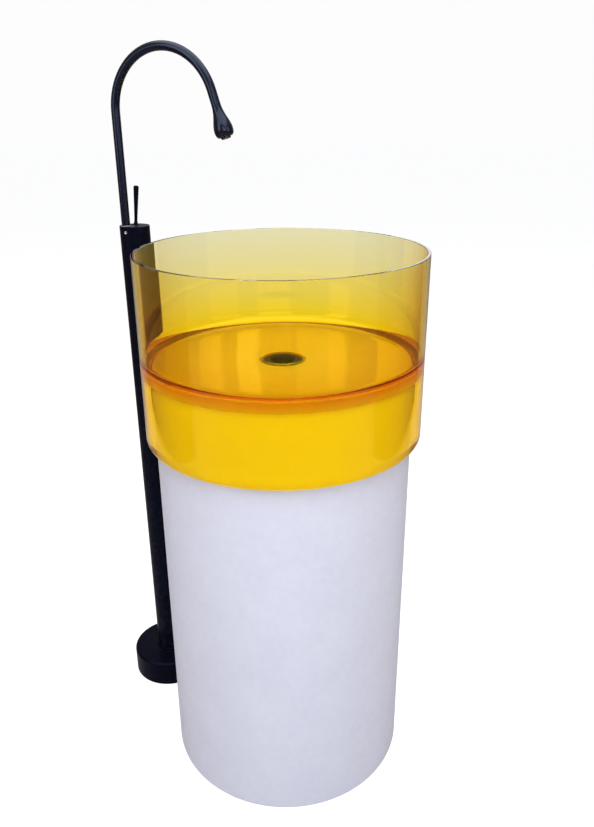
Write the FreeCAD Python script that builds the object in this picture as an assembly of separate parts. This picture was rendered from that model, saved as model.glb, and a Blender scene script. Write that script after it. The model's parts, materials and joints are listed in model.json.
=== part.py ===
import FreeCAD, Part
import math
import os

# A round resin washbasin on a hollow pedestal, with a floor-standing joystick mixer tap beside it.
# Millimetres, +Z up. The origin is the middle of the pedestal's foot, on the floor.

V = FreeCAD.Vector
UP = V(0, 0, 1)
DOWN = V(0, 0, -1)

# ---- Basin -------------------------------------------------------------------------------------
BASIN_RADIUS = 220.0        # outside of the round basin
RIM_HEIGHT = 900.0          # top of the rim above the floor
BASIN_WALL = 5.0            # thickness of the clear upper wall
RIM_EASE = 0.8              # rounding of both rim edges
BOWL_DEPTH = 165.0          # rim to the inside floor at its outer edge
FLOOR_FALL = 2.0            # the floor falls this much towards the waste
FLOOR_SLAB = 13.0           # thickness of the cast floor
FLOOR_CORNER = 20.0         # radius between wall and floor, inside
SEAM_ABOVE_FLOOR = 6.0      # the wall is bonded to the base this far above the floor
SKIRT_DEPTH = 112.0         # the base's skirt hangs this far below the slab
SKIRT_WALL = 14.0           # thickness of the skirt
SKIRT_EDGE = 8.0            # rounding of the skirt's lower outside edge
RECESS_RADIUS = 32.5        # round recess in the floor for the waste
RECESS_DEPTH = 8.0          # below the floor beside it
RECESS_EASE = 1.5           # rounding of the recess's edge
WASTE_HOLE_RADIUS = 22.5    # hole through the base
BOSS_RADIUS = 36.5          # thick ring under the recess
BOSS_DEPTH = 7.0            # how far that ring stands down from the slab

# ---- Pedestal ----------------------------------------------------------------------------------
PEDESTAL_GAP = 1.0          # between pedestal and skirt
PEDESTAL_WALL = 10.0        # thickness of the shell
PEDESTAL_FOOT_EDGE = 3.0    # rounding of the lower outside edge
TOP_PLATE = 18.0            # thickness of the plate let into the shell's top
PLATE_REBATE = 2.0          # the shell's wall is thinner by this beside the plate
PLATE_GAP = 0.2             # between plate and rebate
PLATE_HOLE_GAP = 1.0        # round the basin's thick ring, where the waste passes
BEDDING = 2.0               # thickness of the silicone bed under the basin
CLEATS = 3                  # floor brackets inside the pedestal
CLEAT_WIDTH = 30.0
CLEAT_HEIGHT = 42.0
CLEAT_FOOT = 36.0           # how far a bracket reaches inwards
CLEAT_STEEL = 3.0
CLEAT_HOLE = 4.25           # radius of its floor-bolt hole
CLEAT_BOLT_CIRCLE = 172.0   # radius of the circle that the floor bolts stand on
CLEAT_TURN = 30.0           # angle of the first bracket, degrees from +X
CLEAT_SCREW_RADIUS = 2.5
CLEAT_SCREW_DEPTH = 7.0     # length of the screw in the pedestal's wall
CLEAT_SCREW_HEIGHT = 27.0
CLEAT_SCREW_HEAD = 4.6

# ---- Waste and trap ----------------------------------------------------------------------------
SEAL = 1.5                  # thickness of flat rubber washers
WASTE_FLANGE_RADIUS = 30.5
WASTE_FLANGE = 3.0
WASTE_STEM_RADIUS = 21.5
WASTE_BORE = 18.0
WASTE_LENGTH = 76.0         # below the flange
GRID_DEPTH = 9.0            # the cross stands this far below the flange's top
GRID_BAR = 3.0
GRID_HEIGHT = 4.0
LOWER_SEAL = 4.0
BACKNUT_FLATS = 56.0        # across the flats
BACKNUT_HEIGHT = 10.0
THREAD_GAP = 0.1            # between a nut and the thread that it sits on
TRAP_TUBE_RADIUS = 16.0
TRAP_TUBE_WALL = 1.5
TRAP_COLLAR = 2.0           # thickness of the flange at the tube's top
TRAP_COLLAR_RADIUS = 20.5
INLET_NUT_FLATS = 52.0
INLET_NUT_ABOVE = 14.0      # how far the nut climbs on the waste's thread
INLET_NUT_BELOW = 9.0
TRAP_HEAD_RADIUS = 33.0
TRAP_HEAD_HEIGHT = 62.0
TRAP_BELOW_WASTE = 54.5     # the trap head's top face under the waste's end
TRAP_WALL = 3.0
TRAP_NECK_RADIUS = 22.0     # threaded neck on the head, for the tube nut
TRAP_NECK_HEIGHT = 12.0
TUBE_NUT_FLATS = 52.0
TUBE_NUT_HEIGHT = 16.0
CUP_RADIUS = 37.0
CUP_HEIGHT = 96.0
CUP_OVERLAP = 16.0          # how far the cup climbs around the head
DIP_ABOVE_CUP_FLOOR = 32.0  # gap under the dip tube's end
OUTLET_BELOW_TOP = 24.0     # axis of the side outlet under the head's top
OUTLET_NECK_LENGTH = 20.0
OUTLET_NUT_LENGTH = 20.0
OUTLET_BEND = 42.0          # radius of the elbow's centre line
OUTLET_RUN = 26.0           # straight pipe before the elbow
OUTLET_FLOOR_GAP = 4.0      # the pipe's end stands this far off the floor

# ---- Tap: place and column ---------------------------------------------------------------------
TAP_SPACE = 77.34           # basin's outside to the tap's axis
TAP_HEADING = 145.83        # direction of the tap's axis from the basin's, degrees from +X
COLUMN_RADIUS = 25.0
COLUMN_WALL = 1.8
COLUMN_TOP = 914.0
COLUMN_EDGE = 0.6           # chamfer on the column's top edge
BASE_PLATE_RADIUS = 60.0
BASE_PLATE = 8.0
BASE_GASKET = 2.0
BASE_OPENING = 21.0         # radius of the way through for the hoses
ANCHOR_HOLES = 4
ANCHOR_HOLE = 4.5
ANCHOR_CIRCLE = 48.0        # radius of the circle that the anchors stand on
SOCKET_GAP = 0.1            # between the foot socket and the column's bore
SOCKET_WALL = 2.5
SOCKET_HEIGHT = 52.0
FOOT_SCREWS = 3
FOOT_SCREW_RADIUS = 2.5
FOOT_SCREW_HEIGHT = 34.0
COVER_RADIUS = 73.0
COVER_HEIGHT = 50.0
COVER_WALL = 2.5
COVER_EDGE = 5.0            # rounding of the cover's top edge
COVER_GAP = 0.35            # between cover and column
COLLAR_WIDTH = 3.6
COLLAR_HEIGHT = 3.5
COVER_CORD = 0.8            # section radius of the O-ring in the collar
COVER_CORD_GAP = 0.06       # between that O-ring and the column

# ---- Tap: head ---------------------------------------------------------------------------------
HEAD_PLATE = 2.5            # thickness of the plate in the column's top
HEAD_GAP = 0.15             # between the head's pieces and the column's bore
BODY_HEIGHT = 66.0
RISER_DX = -12.9            # riser's axis from the tap's axis
RISER_DY = -6.3
LEVER_DX = 0.0              # lever's axis from the tap's axis
LEVER_DY = 9.5
PLATE_SCREW_DX = 1.0
PLATE_SCREW_DY = -7.0
PLATE_SCREW_RADIUS = 1.5
PLATE_SCREW_HEAD = 2.8
PLATE_SCREW_LENGTH = 11.0
SPIGOT_RADIUS = 5.5
SPIGOT_BORE = 3.4
SPIGOT_LENGTH = 47.0
SPIGOT_GAP = 0.08           # running clearance in the body's bore
RISER_SUMP = 1.0            # the riser's bore goes this far below the outlet channel
SPOUT_STOP_TURN = 100.0     # the spout turns this many degrees each way
STOP_DEPTH = 1.2            # depth of the stop groove in the spigot
STOP_HEIGHT = 5.0
STOP_BELOW_TOP = 9.0        # its middle under the head plate's top
STOP_SCREW_TURN = -85.0     # direction of the stop screw from the riser's axis
STOP_SCREW_RADIUS = 2.5
STOP_POINT_RADIUS = 1.5
STOP_POINT_GAP = 0.3
STOP_SCREW_SUNK = 0.6       # how deep the screw's end lies under the column's surface
SPOUT_CORD = 0.65           # section radius of the spigot's O-rings
SPOUT_CORD_DEPTHS = (24.0, 34.0)
GLIDE_RING = 1.0            # thickness of the plastic ring under the riser
GLIDE_GAP = 0.1

# ---- Tap: cartridge and lever ------------------------------------------------------------------
CARTRIDGE_RADIUS = 12.0
CARTRIDGE_GAP = 0.2
CARTRIDGE_WALL = 1.5
CARTRIDGE_DEPTH = 44.0      # bore's floor under the head plate's top
PORT_RADIUS = 2.0
PORT_DX = 5.5               # inlet ports each side of the lever's axis
PORT_DY = -3.0
OUTLET_PORT_DY = -6.0
CARTRIDGE_BASE = 5.0
DISC = 3.0                  # thickness of a ceramic disc
FIXED_DISC_RADIUS = 10.2
MOVING_DISC_RADIUS = 7.4
DISC_FILM = 0.05            # gap between the two discs
CARRIER_RADIUS = 7.8
CARRIER_PLATE = 3.0
CARRIER_HALF_WIDTH = 5.3
CARRIER_HALF_LENGTH = 5.0
CARRIER_GUIDE_GAP = 0.3
BALL_RADIUS = 6.6
BALL_BELOW_TOP = 5.0        # ball's centre under the head plate's top
LEVER_HOLE = 7.2            # hole in the head plate
LEVER_ARM = 13.5            # ball's centre to the stem's round end
STEM_RADIUS = 1.9
STEM_END_RADIUS = 2.55
STEM_SOCKET_GAP = 0.2
AXLE_RADIUS = 0.9
AXLE_GAP = 0.05
TURRET_GAP = 0.1            # running clearance in the housing
TURRET_BORE_GAP = 0.7       # around the ball
TURRET_LEG = 3.2            # thickness of a guide leg
TURRET_PLATE_GAP = 0.3
LEVER_LEAN = 5.4            # the lever leans this much towards +X at rest
LEVER_OPEN = 22.0           # lean when fully open; upright is shut
LEVER_LENGTH = 62.0         # ball's top to the lever's end
LEVER_FOOT_RADIUS = 3.9
LEVER_WAIST_RADIUS = 2.6
LEVER_WAIST_HEIGHT = 9.0
LEVER_TOP_RADIUS = 4.4
LEVER_TOP_ROUND = 2.6

# ---- Tap: hoses --------------------------------------------------------------------------------
HOSE_DX = 8.9               # hoses each side of the tap's axis
HOSE_DY = 5.0
HOSE_RADIUS = 6.0
HOSE_BORE = 4.0
UNION_THREAD = 4.9
UNION_THREAD_LENGTH = 10.0
UNION_FLATS = 12.0
UNION_HEX = 5.0
UNION_BORE = 2.6
FERRULE_RADIUS = 6.9
FERRULE_LENGTH = 18.0
HOSE_NUT_FLATS = 17.0
HOSE_NUT_HEIGHT = 18.0
HOSE_NUT_BOTTOM = 4.0
HOSE_NUT_THREAD = 7.5       # inside radius of its thread
HOSE_NUT_THREAD_LENGTH = 11.0
HOSE_WASHER_SEAT = 7.1      # radius of the washer's seat above the thread

# ---- Tap: spout --------------------------------------------------------------------------------
TUBE_RADIUS = 7.0
TUBE_WALL = 1.2
SPOUT_HEADING = -26.0       # direction that the spout points in, degrees from +X
SPOUT_BEND = 91.0           # radius of the gooseneck's centre line
SPOUT_BEND_HEIGHT = 1090.6  # height of the bend's centre
SPOUT_BEND_TURN = 161.8     # degrees of bend
DROP_LENGTH = 67.0          # end of the bend to the nozzle's end
DROP_RADIUS = 14.6          # widest place of the drop
DROP_WIDEST = 57.5          # where that is, from the bend's end
DROP_MOUTH = 9.9            # outside radius at the nozzle's end
DROP_JOINT = 17.0           # the nozzle is brazed on this far below the bend
DROP_SLEEVE = 9.0           # length of the sleeve inside the nozzle
AERATOR_RADIUS = 8.6
AERATOR_LIP_RADIUS = 7.5
AERATOR_LIP = 2.8           # how far it stands out
AERATOR_LENGTH = 13.0
AERATOR_GAP = 0.1
INSERT_RADIUS = 6.0
INSERT_HOLE = 0.8
INSERT_RING = 3.6
INSERT_HOLES = 8

# ---- Worked-out places -------------------------------------------------------------------------
BASIN_INSIDE = BASIN_RADIUS - BASIN_WALL
FLOOR_HEIGHT = RIM_HEIGHT - BOWL_DEPTH
SEAM_HEIGHT = FLOOR_HEIGHT + SEAM_ABOVE_FLOOR
SLAB_UNDERSIDE = FLOOR_HEIGHT - FLOOR_SLAB
SKIRT_BOTTOM = SLAB_UNDERSIDE - SKIRT_DEPTH
SKIRT_INSIDE = BASIN_RADIUS - SKIRT_WALL
FLAT_FLOOR_RADIUS = BASIN_INSIDE - FLOOR_CORNER
RECESS_RIM = FLOOR_HEIGHT - FLOOR_FALL
RECESS_FLOOR = RECESS_RIM - RECESS_DEPTH
BOSS_UNDERSIDE = SLAB_UNDERSIDE - BOSS_DEPTH
PEDESTAL_RADIUS = SKIRT_INSIDE - PEDESTAL_GAP
PEDESTAL_INSIDE = PEDESTAL_RADIUS - PEDESTAL_WALL
PEDESTAL_TOP = SLAB_UNDERSIDE - BEDDING
PLATE_UNDERSIDE = PEDESTAL_TOP - TOP_PLATE
PLATE_HOLE = BOSS_RADIUS + PLATE_HOLE_GAP
FLANGE_UNDERSIDE = RECESS_FLOOR + SEAL
FLANGE_TOP = FLANGE_UNDERSIDE + WASTE_FLANGE
WASTE_END = FLANGE_UNDERSIDE - WASTE_LENGTH
BACKNUT_TOP = BOSS_UNDERSIDE - LOWER_SEAL
TUBE_TOP = WASTE_END - SEAL
TRAP_HEAD_TOP = WASTE_END - TRAP_BELOW_WASTE
TRAP_HEAD_BOTTOM = TRAP_HEAD_TOP - TRAP_HEAD_HEIGHT
NECK_TOP = TRAP_HEAD_TOP + TRAP_NECK_HEIGHT
CUP_TOP = TRAP_HEAD_BOTTOM + CUP_OVERLAP
CUP_BOTTOM = CUP_TOP - CUP_HEIGHT
DIP_END = CUP_BOTTOM + TRAP_WALL + DIP_ABOVE_CUP_FLOOR
OUTLET_HEIGHT = TRAP_HEAD_TOP - OUTLET_BELOW_TOP
OUTLET_NECK_END = TRAP_HEAD_RADIUS + OUTLET_NECK_LENGTH
COLUMN_BORE = COLUMN_RADIUS - COLUMN_WALL
PLATE_TOP_Z = BASE_GASKET + BASE_PLATE
SOCKET_RADIUS = COLUMN_BORE - SOCKET_GAP
HEAD_RADIUS = COLUMN_BORE - HEAD_GAP
HEAD_PLATE_UNDERSIDE = COLUMN_TOP - HEAD_PLATE
BODY_BOTTOM = HEAD_PLATE_UNDERSIDE - BODY_HEIGHT
CARTRIDGE_FLOOR = COLUMN_TOP - CARTRIDGE_DEPTH
CARTRIDGE_BASE_BOTTOM = CARTRIDGE_FLOOR + SEAL
FIXED_DISC_BOTTOM = CARTRIDGE_BASE_BOTTOM + CARTRIDGE_BASE
MOVING_DISC_BOTTOM = FIXED_DISC_BOTTOM + DISC + DISC_FILM
CARRIER_BOTTOM = MOVING_DISC_BOTTOM + DISC
HOUSING_INSIDE = CARTRIDGE_RADIUS - CARTRIDGE_WALL
TURRET_RADIUS = HOUSING_INSIDE - TURRET_GAP
BALL_HEIGHT = COLUMN_TOP - BALL_BELOW_TOP
STEM_LEAN = LEVER_LEAN - LEVER_OPEN / 2
CHANNEL_HEIGHT = CARTRIDGE_FLOOR - PORT_RADIUS - 2.0
RISER_FOOT = COLUMN_TOP + GLIDE_RING + GLIDE_GAP
SPIGOT_END = COLUMN_TOP - SPIGOT_LENGTH
STOP_HEIGHT_Z = COLUMN_TOP - STOP_BELOW_TOP
STOP_RADIUS = SPIGOT_RADIUS - STOP_DEPTH
TUBE_BORE = TUBE_RADIUS - TUBE_WALL
TAP_DISTANCE = BASIN_RADIUS + TAP_SPACE
TAP_X = TAP_DISTANCE * math.cos(math.radians(TAP_HEADING))
TAP_Y = TAP_DISTANCE * math.sin(math.radians(TAP_HEADING))
TAP = V(TAP_X, TAP_Y, 0)
RISER = V(TAP_X + RISER_DX, TAP_Y + RISER_DY, 0)
LEVER = V(TAP_X + LEVER_DX, TAP_Y + LEVER_DY, 0)


# ---- Shape helpers -----------------------------------------------------------------------------
class Outline:
    """A closed outline of radius and height, turned about an upright axis."""

    def __init__(self, radius, height):
        self.start = V(radius, 0, height)
        self.last = self.start
        self.edges = []

    def line(self, radius, height):
        end = V(radius, 0, height)
        self.edges.append(Part.LineSegment(self.last, end).toShape())
        self.last = end
        return self

    def round(self, centre_radius, centre_height, radius, height):
        """An arc to (radius, height) about a centre, the short way round."""
        centre = V(centre_radius, 0, centre_height)
        end = V(radius, 0, height)
        middle = (self.last + end) * 0.5 - centre
        middle.normalize()
        middle = centre + middle * (end - centre).Length
        self.edges.append(Part.Arc(self.last, middle, end).toShape())
        self.last = end
        return self

    def curve(self, points):
        """A smooth curve through the last point and these."""
        spline = Part.BSplineCurve()
        spline.interpolate([self.last] + [V(radius, 0, height) for radius, height in points])
        self.edges.append(spline.toShape())
        self.last = V(points[-1][0], 0, points[-1][1])
        return self

    def turned(self, at=V(0, 0, 0)):
        self.edges.append(Part.LineSegment(self.last, self.start).toShape())
        solid = Part.Face(Part.Wire(self.edges)).revolve(V(0, 0, 0), UP, 360)
        solid.translate(at)
        return solid


def rod(radius, low, high, at=V(0, 0, 0)):
    return Part.makeCylinder(radius, high - low, V(at.x, at.y, low))


def tube(outer, inner, low, high, at=V(0, 0, 0)):
    return rod(outer, low, high, at).cut(rod(inner, low, high, at))


def cross_rod(radius, start, direction, length):
    return Part.makeCylinder(radius, length, start, direction)


def o_ring(radius, section, height, at=V(0, 0, 0)):
    return Part.makeTorus(radius, section, V(at.x, at.y, height))


def hexagon(flats, low, high, at=V(0, 0, 0), turn=0.0):
    corner = flats / 2 / math.cos(math.pi / 6)
    corners = []
    for index in range(7):
        angle = math.radians(30 + turn + 60 * index)
        corners.append(V(at.x + corner * math.cos(angle), at.y + corner * math.sin(angle), low))
    return Part.Face(Part.makePolygon(corners)).extrude(V(0, 0, high - low))


def heading(degrees, tilt=0.0):
    """A level direction, tipped upwards by tilt degrees."""
    angle = math.radians(degrees)
    rise = math.radians(tilt)
    return V(math.cos(angle) * math.cos(rise), math.sin(angle) * math.cos(rise), math.sin(rise))


def ring_of(count, make, first=0.0):
    """The same piece made at even turns about the origin's upright axis."""
    pieces = []
    for index in range(count):
        piece = make()
        piece.rotate(V(0, 0, 0), UP, first + 360.0 * index / count)
        pieces.append(piece)
    return pieces


def group(pieces):
    return Part.makeCompound(pieces)


def cut_all(shape, tools):
    for tool in tools:
        shape = shape.cut(tool)
    return shape


def leaned(shape, degrees, pivot):
    """Tips a shape about the level Y axis through pivot, towards +X."""
    shape.rotate(pivot, V(0, 1, 0), degrees)
    return shape


# ---- Basin -------------------------------------------------------------------------------------
def corner_at_seam():
    """Radius of the inside corner's arc at the seam's height."""
    drop = FLOOR_CORNER - SEAM_ABOVE_FLOOR
    return FLAT_FLOOR_RADIUS + math.sqrt(FLOOR_CORNER ** 2 - drop ** 2)


def basin_wall():
    corner_height = FLOOR_HEIGHT + FLOOR_CORNER
    shape = Outline(BASIN_RADIUS, SEAM_HEIGHT)
    shape.line(BASIN_RADIUS, RIM_HEIGHT - RIM_EASE)
    shape.round(BASIN_RADIUS - RIM_EASE, RIM_HEIGHT - RIM_EASE, BASIN_RADIUS - RIM_EASE, RIM_HEIGHT)
    shape.line(BASIN_INSIDE + RIM_EASE, RIM_HEIGHT)
    shape.round(BASIN_INSIDE + RIM_EASE, RIM_HEIGHT - RIM_EASE, BASIN_INSIDE, RIM_HEIGHT - RIM_EASE)
    shape.line(BASIN_INSIDE, corner_height)
    shape.round(FLAT_FLOOR_RADIUS, corner_height, corner_at_seam(), SEAM_HEIGHT)
    return shape.turned()


def basin_base():
    corner_height = FLOOR_HEIGHT + FLOOR_CORNER
    shape = Outline(corner_at_seam(), SEAM_HEIGHT)
    shape.round(FLAT_FLOOR_RADIUS, corner_height, FLAT_FLOOR_RADIUS, FLOOR_HEIGHT)
    shape.line(RECESS_RADIUS + RECESS_EASE, RECESS_RIM)
    shape.round(RECESS_RADIUS + RECESS_EASE, RECESS_RIM - RECESS_EASE,
                RECESS_RADIUS, RECESS_RIM - RECESS_EASE)
    shape.line(RECESS_RADIUS, RECESS_FLOOR)
    shape.line(WASTE_HOLE_RADIUS, RECESS_FLOOR)
    shape.line(WASTE_HOLE_RADIUS, BOSS_UNDERSIDE)
    shape.line(BOSS_RADIUS, BOSS_UNDERSIDE)
    shape.line(BOSS_RADIUS, SLAB_UNDERSIDE)
    shape.line(SKIRT_INSIDE, SLAB_UNDERSIDE)
    shape.line(SKIRT_INSIDE, SKIRT_BOTTOM)
    shape.line(BASIN_RADIUS - SKIRT_EDGE, SKIRT_BOTTOM)
    shape.round(BASIN_RADIUS - SKIRT_EDGE, SKIRT_BOTTOM + SKIRT_EDGE,
                BASIN_RADIUS, SKIRT_BOTTOM + SKIRT_EDGE)
    shape.line(BASIN_RADIUS, SEAM_HEIGHT)
    return shape.turned()


# ---- Pedestal ----------------------------------------------------------------------------------
def cleat_face():
    """Distance from the axis to a bracket's flat back, which touches the round wall at its edges."""
    return math.sqrt(PEDESTAL_INSIDE ** 2 - (CLEAT_WIDTH / 2) ** 2) - THREAD_GAP


def cleat_screw_hole():
    start = V(cleat_face() - CLEAT_STEEL, 0, CLEAT_SCREW_HEIGHT)
    length = PEDESTAL_INSIDE + CLEAT_SCREW_DEPTH - start.x
    return cross_rod(CLEAT_SCREW_RADIUS + THREAD_GAP, start, V(1, 0, 0), length)


def pedestal_shell():
    shape = Outline(PEDESTAL_INSIDE, 0)
    shape.line(PEDESTAL_RADIUS - PEDESTAL_FOOT_EDGE, 0)
    shape.round(PEDESTAL_RADIUS - PEDESTAL_FOOT_EDGE, PEDESTAL_FOOT_EDGE,
                PEDESTAL_RADIUS, PEDESTAL_FOOT_EDGE)
    shape.line(PEDESTAL_RADIUS, PEDESTAL_TOP)
    shape.line(PEDESTAL_INSIDE + PLATE_REBATE, PEDESTAL_TOP)
    shape.line(PEDESTAL_INSIDE + PLATE_REBATE, PLATE_UNDERSIDE)
    shape.line(PEDESTAL_INSIDE, PLATE_UNDERSIDE)
    return cut_all(shape.turned(), ring_of(CLEATS, cleat_screw_hole, CLEAT_TURN))


def pedestal_top_plate():
    radius = PEDESTAL_INSIDE + PLATE_REBATE - PLATE_GAP
    return tube(radius, PLATE_HOLE, PLATE_UNDERSIDE, PEDESTAL_TOP)


def bedding_pad():
    return tube(PEDESTAL_RADIUS, PLATE_HOLE, PEDESTAL_TOP, SLAB_UNDERSIDE)


def one_cleat():
    face = cleat_face()
    leg = Part.makeBox(CLEAT_STEEL, CLEAT_WIDTH, CLEAT_HEIGHT, V(face - CLEAT_STEEL, -CLEAT_WIDTH / 2, 0))
    foot = Part.makeBox(CLEAT_FOOT, CLEAT_WIDTH, CLEAT_STEEL, V(face - CLEAT_FOOT, -CLEAT_WIDTH / 2, 0))
    bolt_hole = rod(CLEAT_HOLE, -1, CLEAT_STEEL + 1, V(CLEAT_BOLT_CIRCLE, 0, 0))
    return cut_all(leg.fuse(foot).removeSplitter(), [bolt_hole, cleat_screw_hole()])


def one_cleat_screw():
    start = V(cleat_face() - CLEAT_STEEL, 0, CLEAT_SCREW_HEIGHT)
    length = PEDESTAL_INSIDE + CLEAT_SCREW_DEPTH - start.x
    shank = cross_rod(CLEAT_SCREW_RADIUS, start, V(1, 0, 0), length)
    head_height = CLEAT_SCREW_RADIUS
    head = cross_rod(CLEAT_SCREW_HEAD, start, V(-1, 0, 0), head_height)
    key_foot = start - V(head_height, 0, 0)
    socket = cross_rod(CLEAT_SCREW_RADIUS * 0.6, key_foot, V(1, 0, 0), head_height * 0.6)
    return shank.fuse(head).cut(socket)


# ---- Waste and trap ----------------------------------------------------------------------------
def waste_body():
    bevel = WASTE_FLANGE * 0.6
    shape = Outline(WASTE_BORE, WASTE_END)
    shape.line(WASTE_STEM_RADIUS, WASTE_END)
    shape.line(WASTE_STEM_RADIUS, FLANGE_UNDERSIDE)
    shape.line(WASTE_FLANGE_RADIUS, FLANGE_UNDERSIDE)
    shape.line(WASTE_FLANGE_RADIUS, FLANGE_TOP - bevel)
    shape.round(WASTE_FLANGE_RADIUS - bevel, FLANGE_TOP - bevel, WASTE_FLANGE_RADIUS - bevel, FLANGE_TOP)
    shape.line(WASTE_STEM_RADIUS, FLANGE_TOP)
    shape.round(WASTE_STEM_RADIUS, FLANGE_TOP - WASTE_STEM_RADIUS + WASTE_BORE,
                WASTE_BORE, FLANGE_TOP - WASTE_STEM_RADIUS + WASTE_BORE)
    body = shape.turned()
    low = FLANGE_TOP - GRID_DEPTH - GRID_HEIGHT
    reach = WASTE_BORE + (WASTE_STEM_RADIUS - WASTE_BORE) / 2
    for turn in (0, 90):
        bar = Part.makeBox(2 * reach, GRID_BAR, GRID_HEIGHT, V(-reach, -GRID_BAR / 2, low))
        bar.rotate(V(0, 0, 0), UP, turn)
        body = body.fuse(bar)
    return body.removeSplitter()


def waste_upper_seal():
    return tube(WASTE_FLANGE_RADIUS - 1, WASTE_STEM_RADIUS + THREAD_GAP, RECESS_FLOOR, FLANGE_UNDERSIDE)


def waste_lower_seal():
    return tube(BACKNUT_FLATS / 2, WASTE_STEM_RADIUS + THREAD_GAP, BACKNUT_TOP, BOSS_UNDERSIDE)


def waste_backnut():
    low = BACKNUT_TOP - BACKNUT_HEIGHT
    return hexagon(BACKNUT_FLATS, low, BACKNUT_TOP).cut(
        rod(WASTE_STEM_RADIUS + THREAD_GAP, low, BACKNUT_TOP))


def trap_inlet_tube():
    body = tube(TRAP_TUBE_RADIUS, TRAP_TUBE_RADIUS - TRAP_TUBE_WALL, DIP_END, TUBE_TOP)
    collar = tube(TRAP_COLLAR_RADIUS, TRAP_TUBE_RADIUS - TRAP_TUBE_WALL, TUBE_TOP - TRAP_COLLAR, TUBE_TOP)
    return body.fuse(collar).removeSplitter()


def inlet_washer():
    return tube(TRAP_COLLAR_RADIUS, TRAP_TUBE_RADIUS - TRAP_TUBE_WALL, TUBE_TOP, WASTE_END)


def inlet_nut():
    shoulder = TUBE_TOP - TRAP_COLLAR
    low = shoulder - INLET_NUT_BELOW
    high = WASTE_END + INLET_NUT_ABOVE
    nut = hexagon(INLET_NUT_FLATS, low, high)
    nut = nut.cut(rod(TRAP_TUBE_RADIUS + THREAD_GAP, low, shoulder))
    return nut.cut(rod(WASTE_STEM_RADIUS + THREAD_GAP, shoulder, high))


def outlet_stub(radius, start, length):
    return cross_rod(radius, V(0, start, OUTLET_HEIGHT), V(0, 1, 0), length)


def trap_head():
    neck_bore = TRAP_TUBE_RADIUS + THREAD_GAP
    body = rod(TRAP_HEAD_RADIUS, TRAP_HEAD_BOTTOM, TRAP_HEAD_TOP)
    body = body.fuse(rod(TRAP_NECK_RADIUS, TRAP_HEAD_TOP, NECK_TOP))
    body = body.fuse(outlet_stub(TRAP_NECK_RADIUS, 0, OUTLET_NECK_END))
    body = body.cut(rod(TRAP_HEAD_RADIUS - TRAP_WALL, TRAP_HEAD_BOTTOM, TRAP_HEAD_TOP - TRAP_WALL))
    body = body.cut(rod(neck_bore, TRAP_HEAD_TOP - TRAP_WALL, NECK_TOP))
    return body.cut(outlet_stub(neck_bore, 0, OUTLET_NECK_END))


def tube_washer():
    return tube(TRAP_NECK_RADIUS, TRAP_TUBE_RADIUS + THREAD_GAP, NECK_TOP, NECK_TOP + SEAL)


def tube_nut():
    shoulder = NECK_TOP + SEAL
    high = shoulder + TUBE_NUT_HEIGHT - TRAP_NECK_HEIGHT + SEAL
    low = high - TUBE_NUT_HEIGHT
    nut = hexagon(TUBE_NUT_FLATS, low, high)
    nut = nut.cut(rod(TRAP_NECK_RADIUS + THREAD_GAP, low, shoulder))
    return nut.cut(rod(TRAP_TUBE_RADIUS + THREAD_GAP, shoulder, high))


def trap_cup():
    inside = TRAP_HEAD_RADIUS + THREAD_GAP
    dish = (CUP_RADIUS - TRAP_WALL) * 0.3
    shape = Outline(0, CUP_BOTTOM)
    shape.line(CUP_RADIUS - dish, CUP_BOTTOM)
    shape.round(CUP_RADIUS - dish, CUP_BOTTOM + dish, CUP_RADIUS, CUP_BOTTOM + dish)
    shape.line(CUP_RADIUS, CUP_TOP)
    shape.line(inside, CUP_TOP)
    shape.line(inside, CUP_BOTTOM + dish + TRAP_WALL)
    shape.round(inside - dish, CUP_BOTTOM + dish + TRAP_WALL, inside - dish, CUP_BOTTOM + TRAP_WALL)
    shape.line(0, CUP_BOTTOM + TRAP_WALL)
    return shape.turned()


def cup_seal():
    return tube(TRAP_HEAD_RADIUS, TRAP_HEAD_RADIUS - TRAP_WALL, TRAP_HEAD_BOTTOM - SEAL, TRAP_HEAD_BOTTOM)


def outlet_washer():
    return outlet_stub(TRAP_NECK_RADIUS, OUTLET_NECK_END, SEAL).cut(
        outlet_stub(TRAP_TUBE_RADIUS + THREAD_GAP, OUTLET_NECK_END, SEAL))


def outlet_nut():
    shoulder = OUTLET_NECK_END + SEAL
    end = shoulder + OUTLET_NUT_LENGTH / 4
    nut = hexagon(TUBE_NUT_FLATS, end - OUTLET_NUT_LENGTH, end)
    nut.rotate(V(0, 0, 0), V(1, 0, 0), -90)
    nut.translate(V(0, 0, OUTLET_HEIGHT))
    start = end - OUTLET_NUT_LENGTH
    nut = nut.cut(outlet_stub(TRAP_NECK_RADIUS + THREAD_GAP, start, shoulder - start))
    return nut.cut(outlet_stub(TRAP_TUBE_RADIUS + THREAD_GAP, shoulder, end - shoulder))


def outlet_y():
    """Distance of the outlet pipe's upright leg behind the trap's axis."""
    return OUTLET_NECK_END + OUTLET_RUN + OUTLET_BEND


def elbow(radius):
    """The trap's outlet pipe as one solid bar: level, round the bend and down to the floor."""
    start = TRAP_HEAD_RADIUS
    bend_start = OUTLET_NECK_END + OUTLET_RUN
    level = outlet_stub(radius, start, bend_start - start)
    disc = Part.Face(Part.Wire(Part.makeCircle(radius, V(0, bend_start, OUTLET_HEIGHT), V(0, 1, 0))))
    bend = disc.revolve(V(0, bend_start, OUTLET_HEIGHT - OUTLET_BEND), V(1, 0, 0), -90)
    leg = rod(radius, OUTLET_FLOOR_GAP, OUTLET_HEIGHT - OUTLET_BEND, V(0, outlet_y(), 0))
    return level.fuse(bend).fuse(leg)


def outlet_pipe():
    return elbow(TRAP_TUBE_RADIUS).cut(elbow(TRAP_TUBE_RADIUS - TRAP_TUBE_WALL)).removeSplitter()


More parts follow.
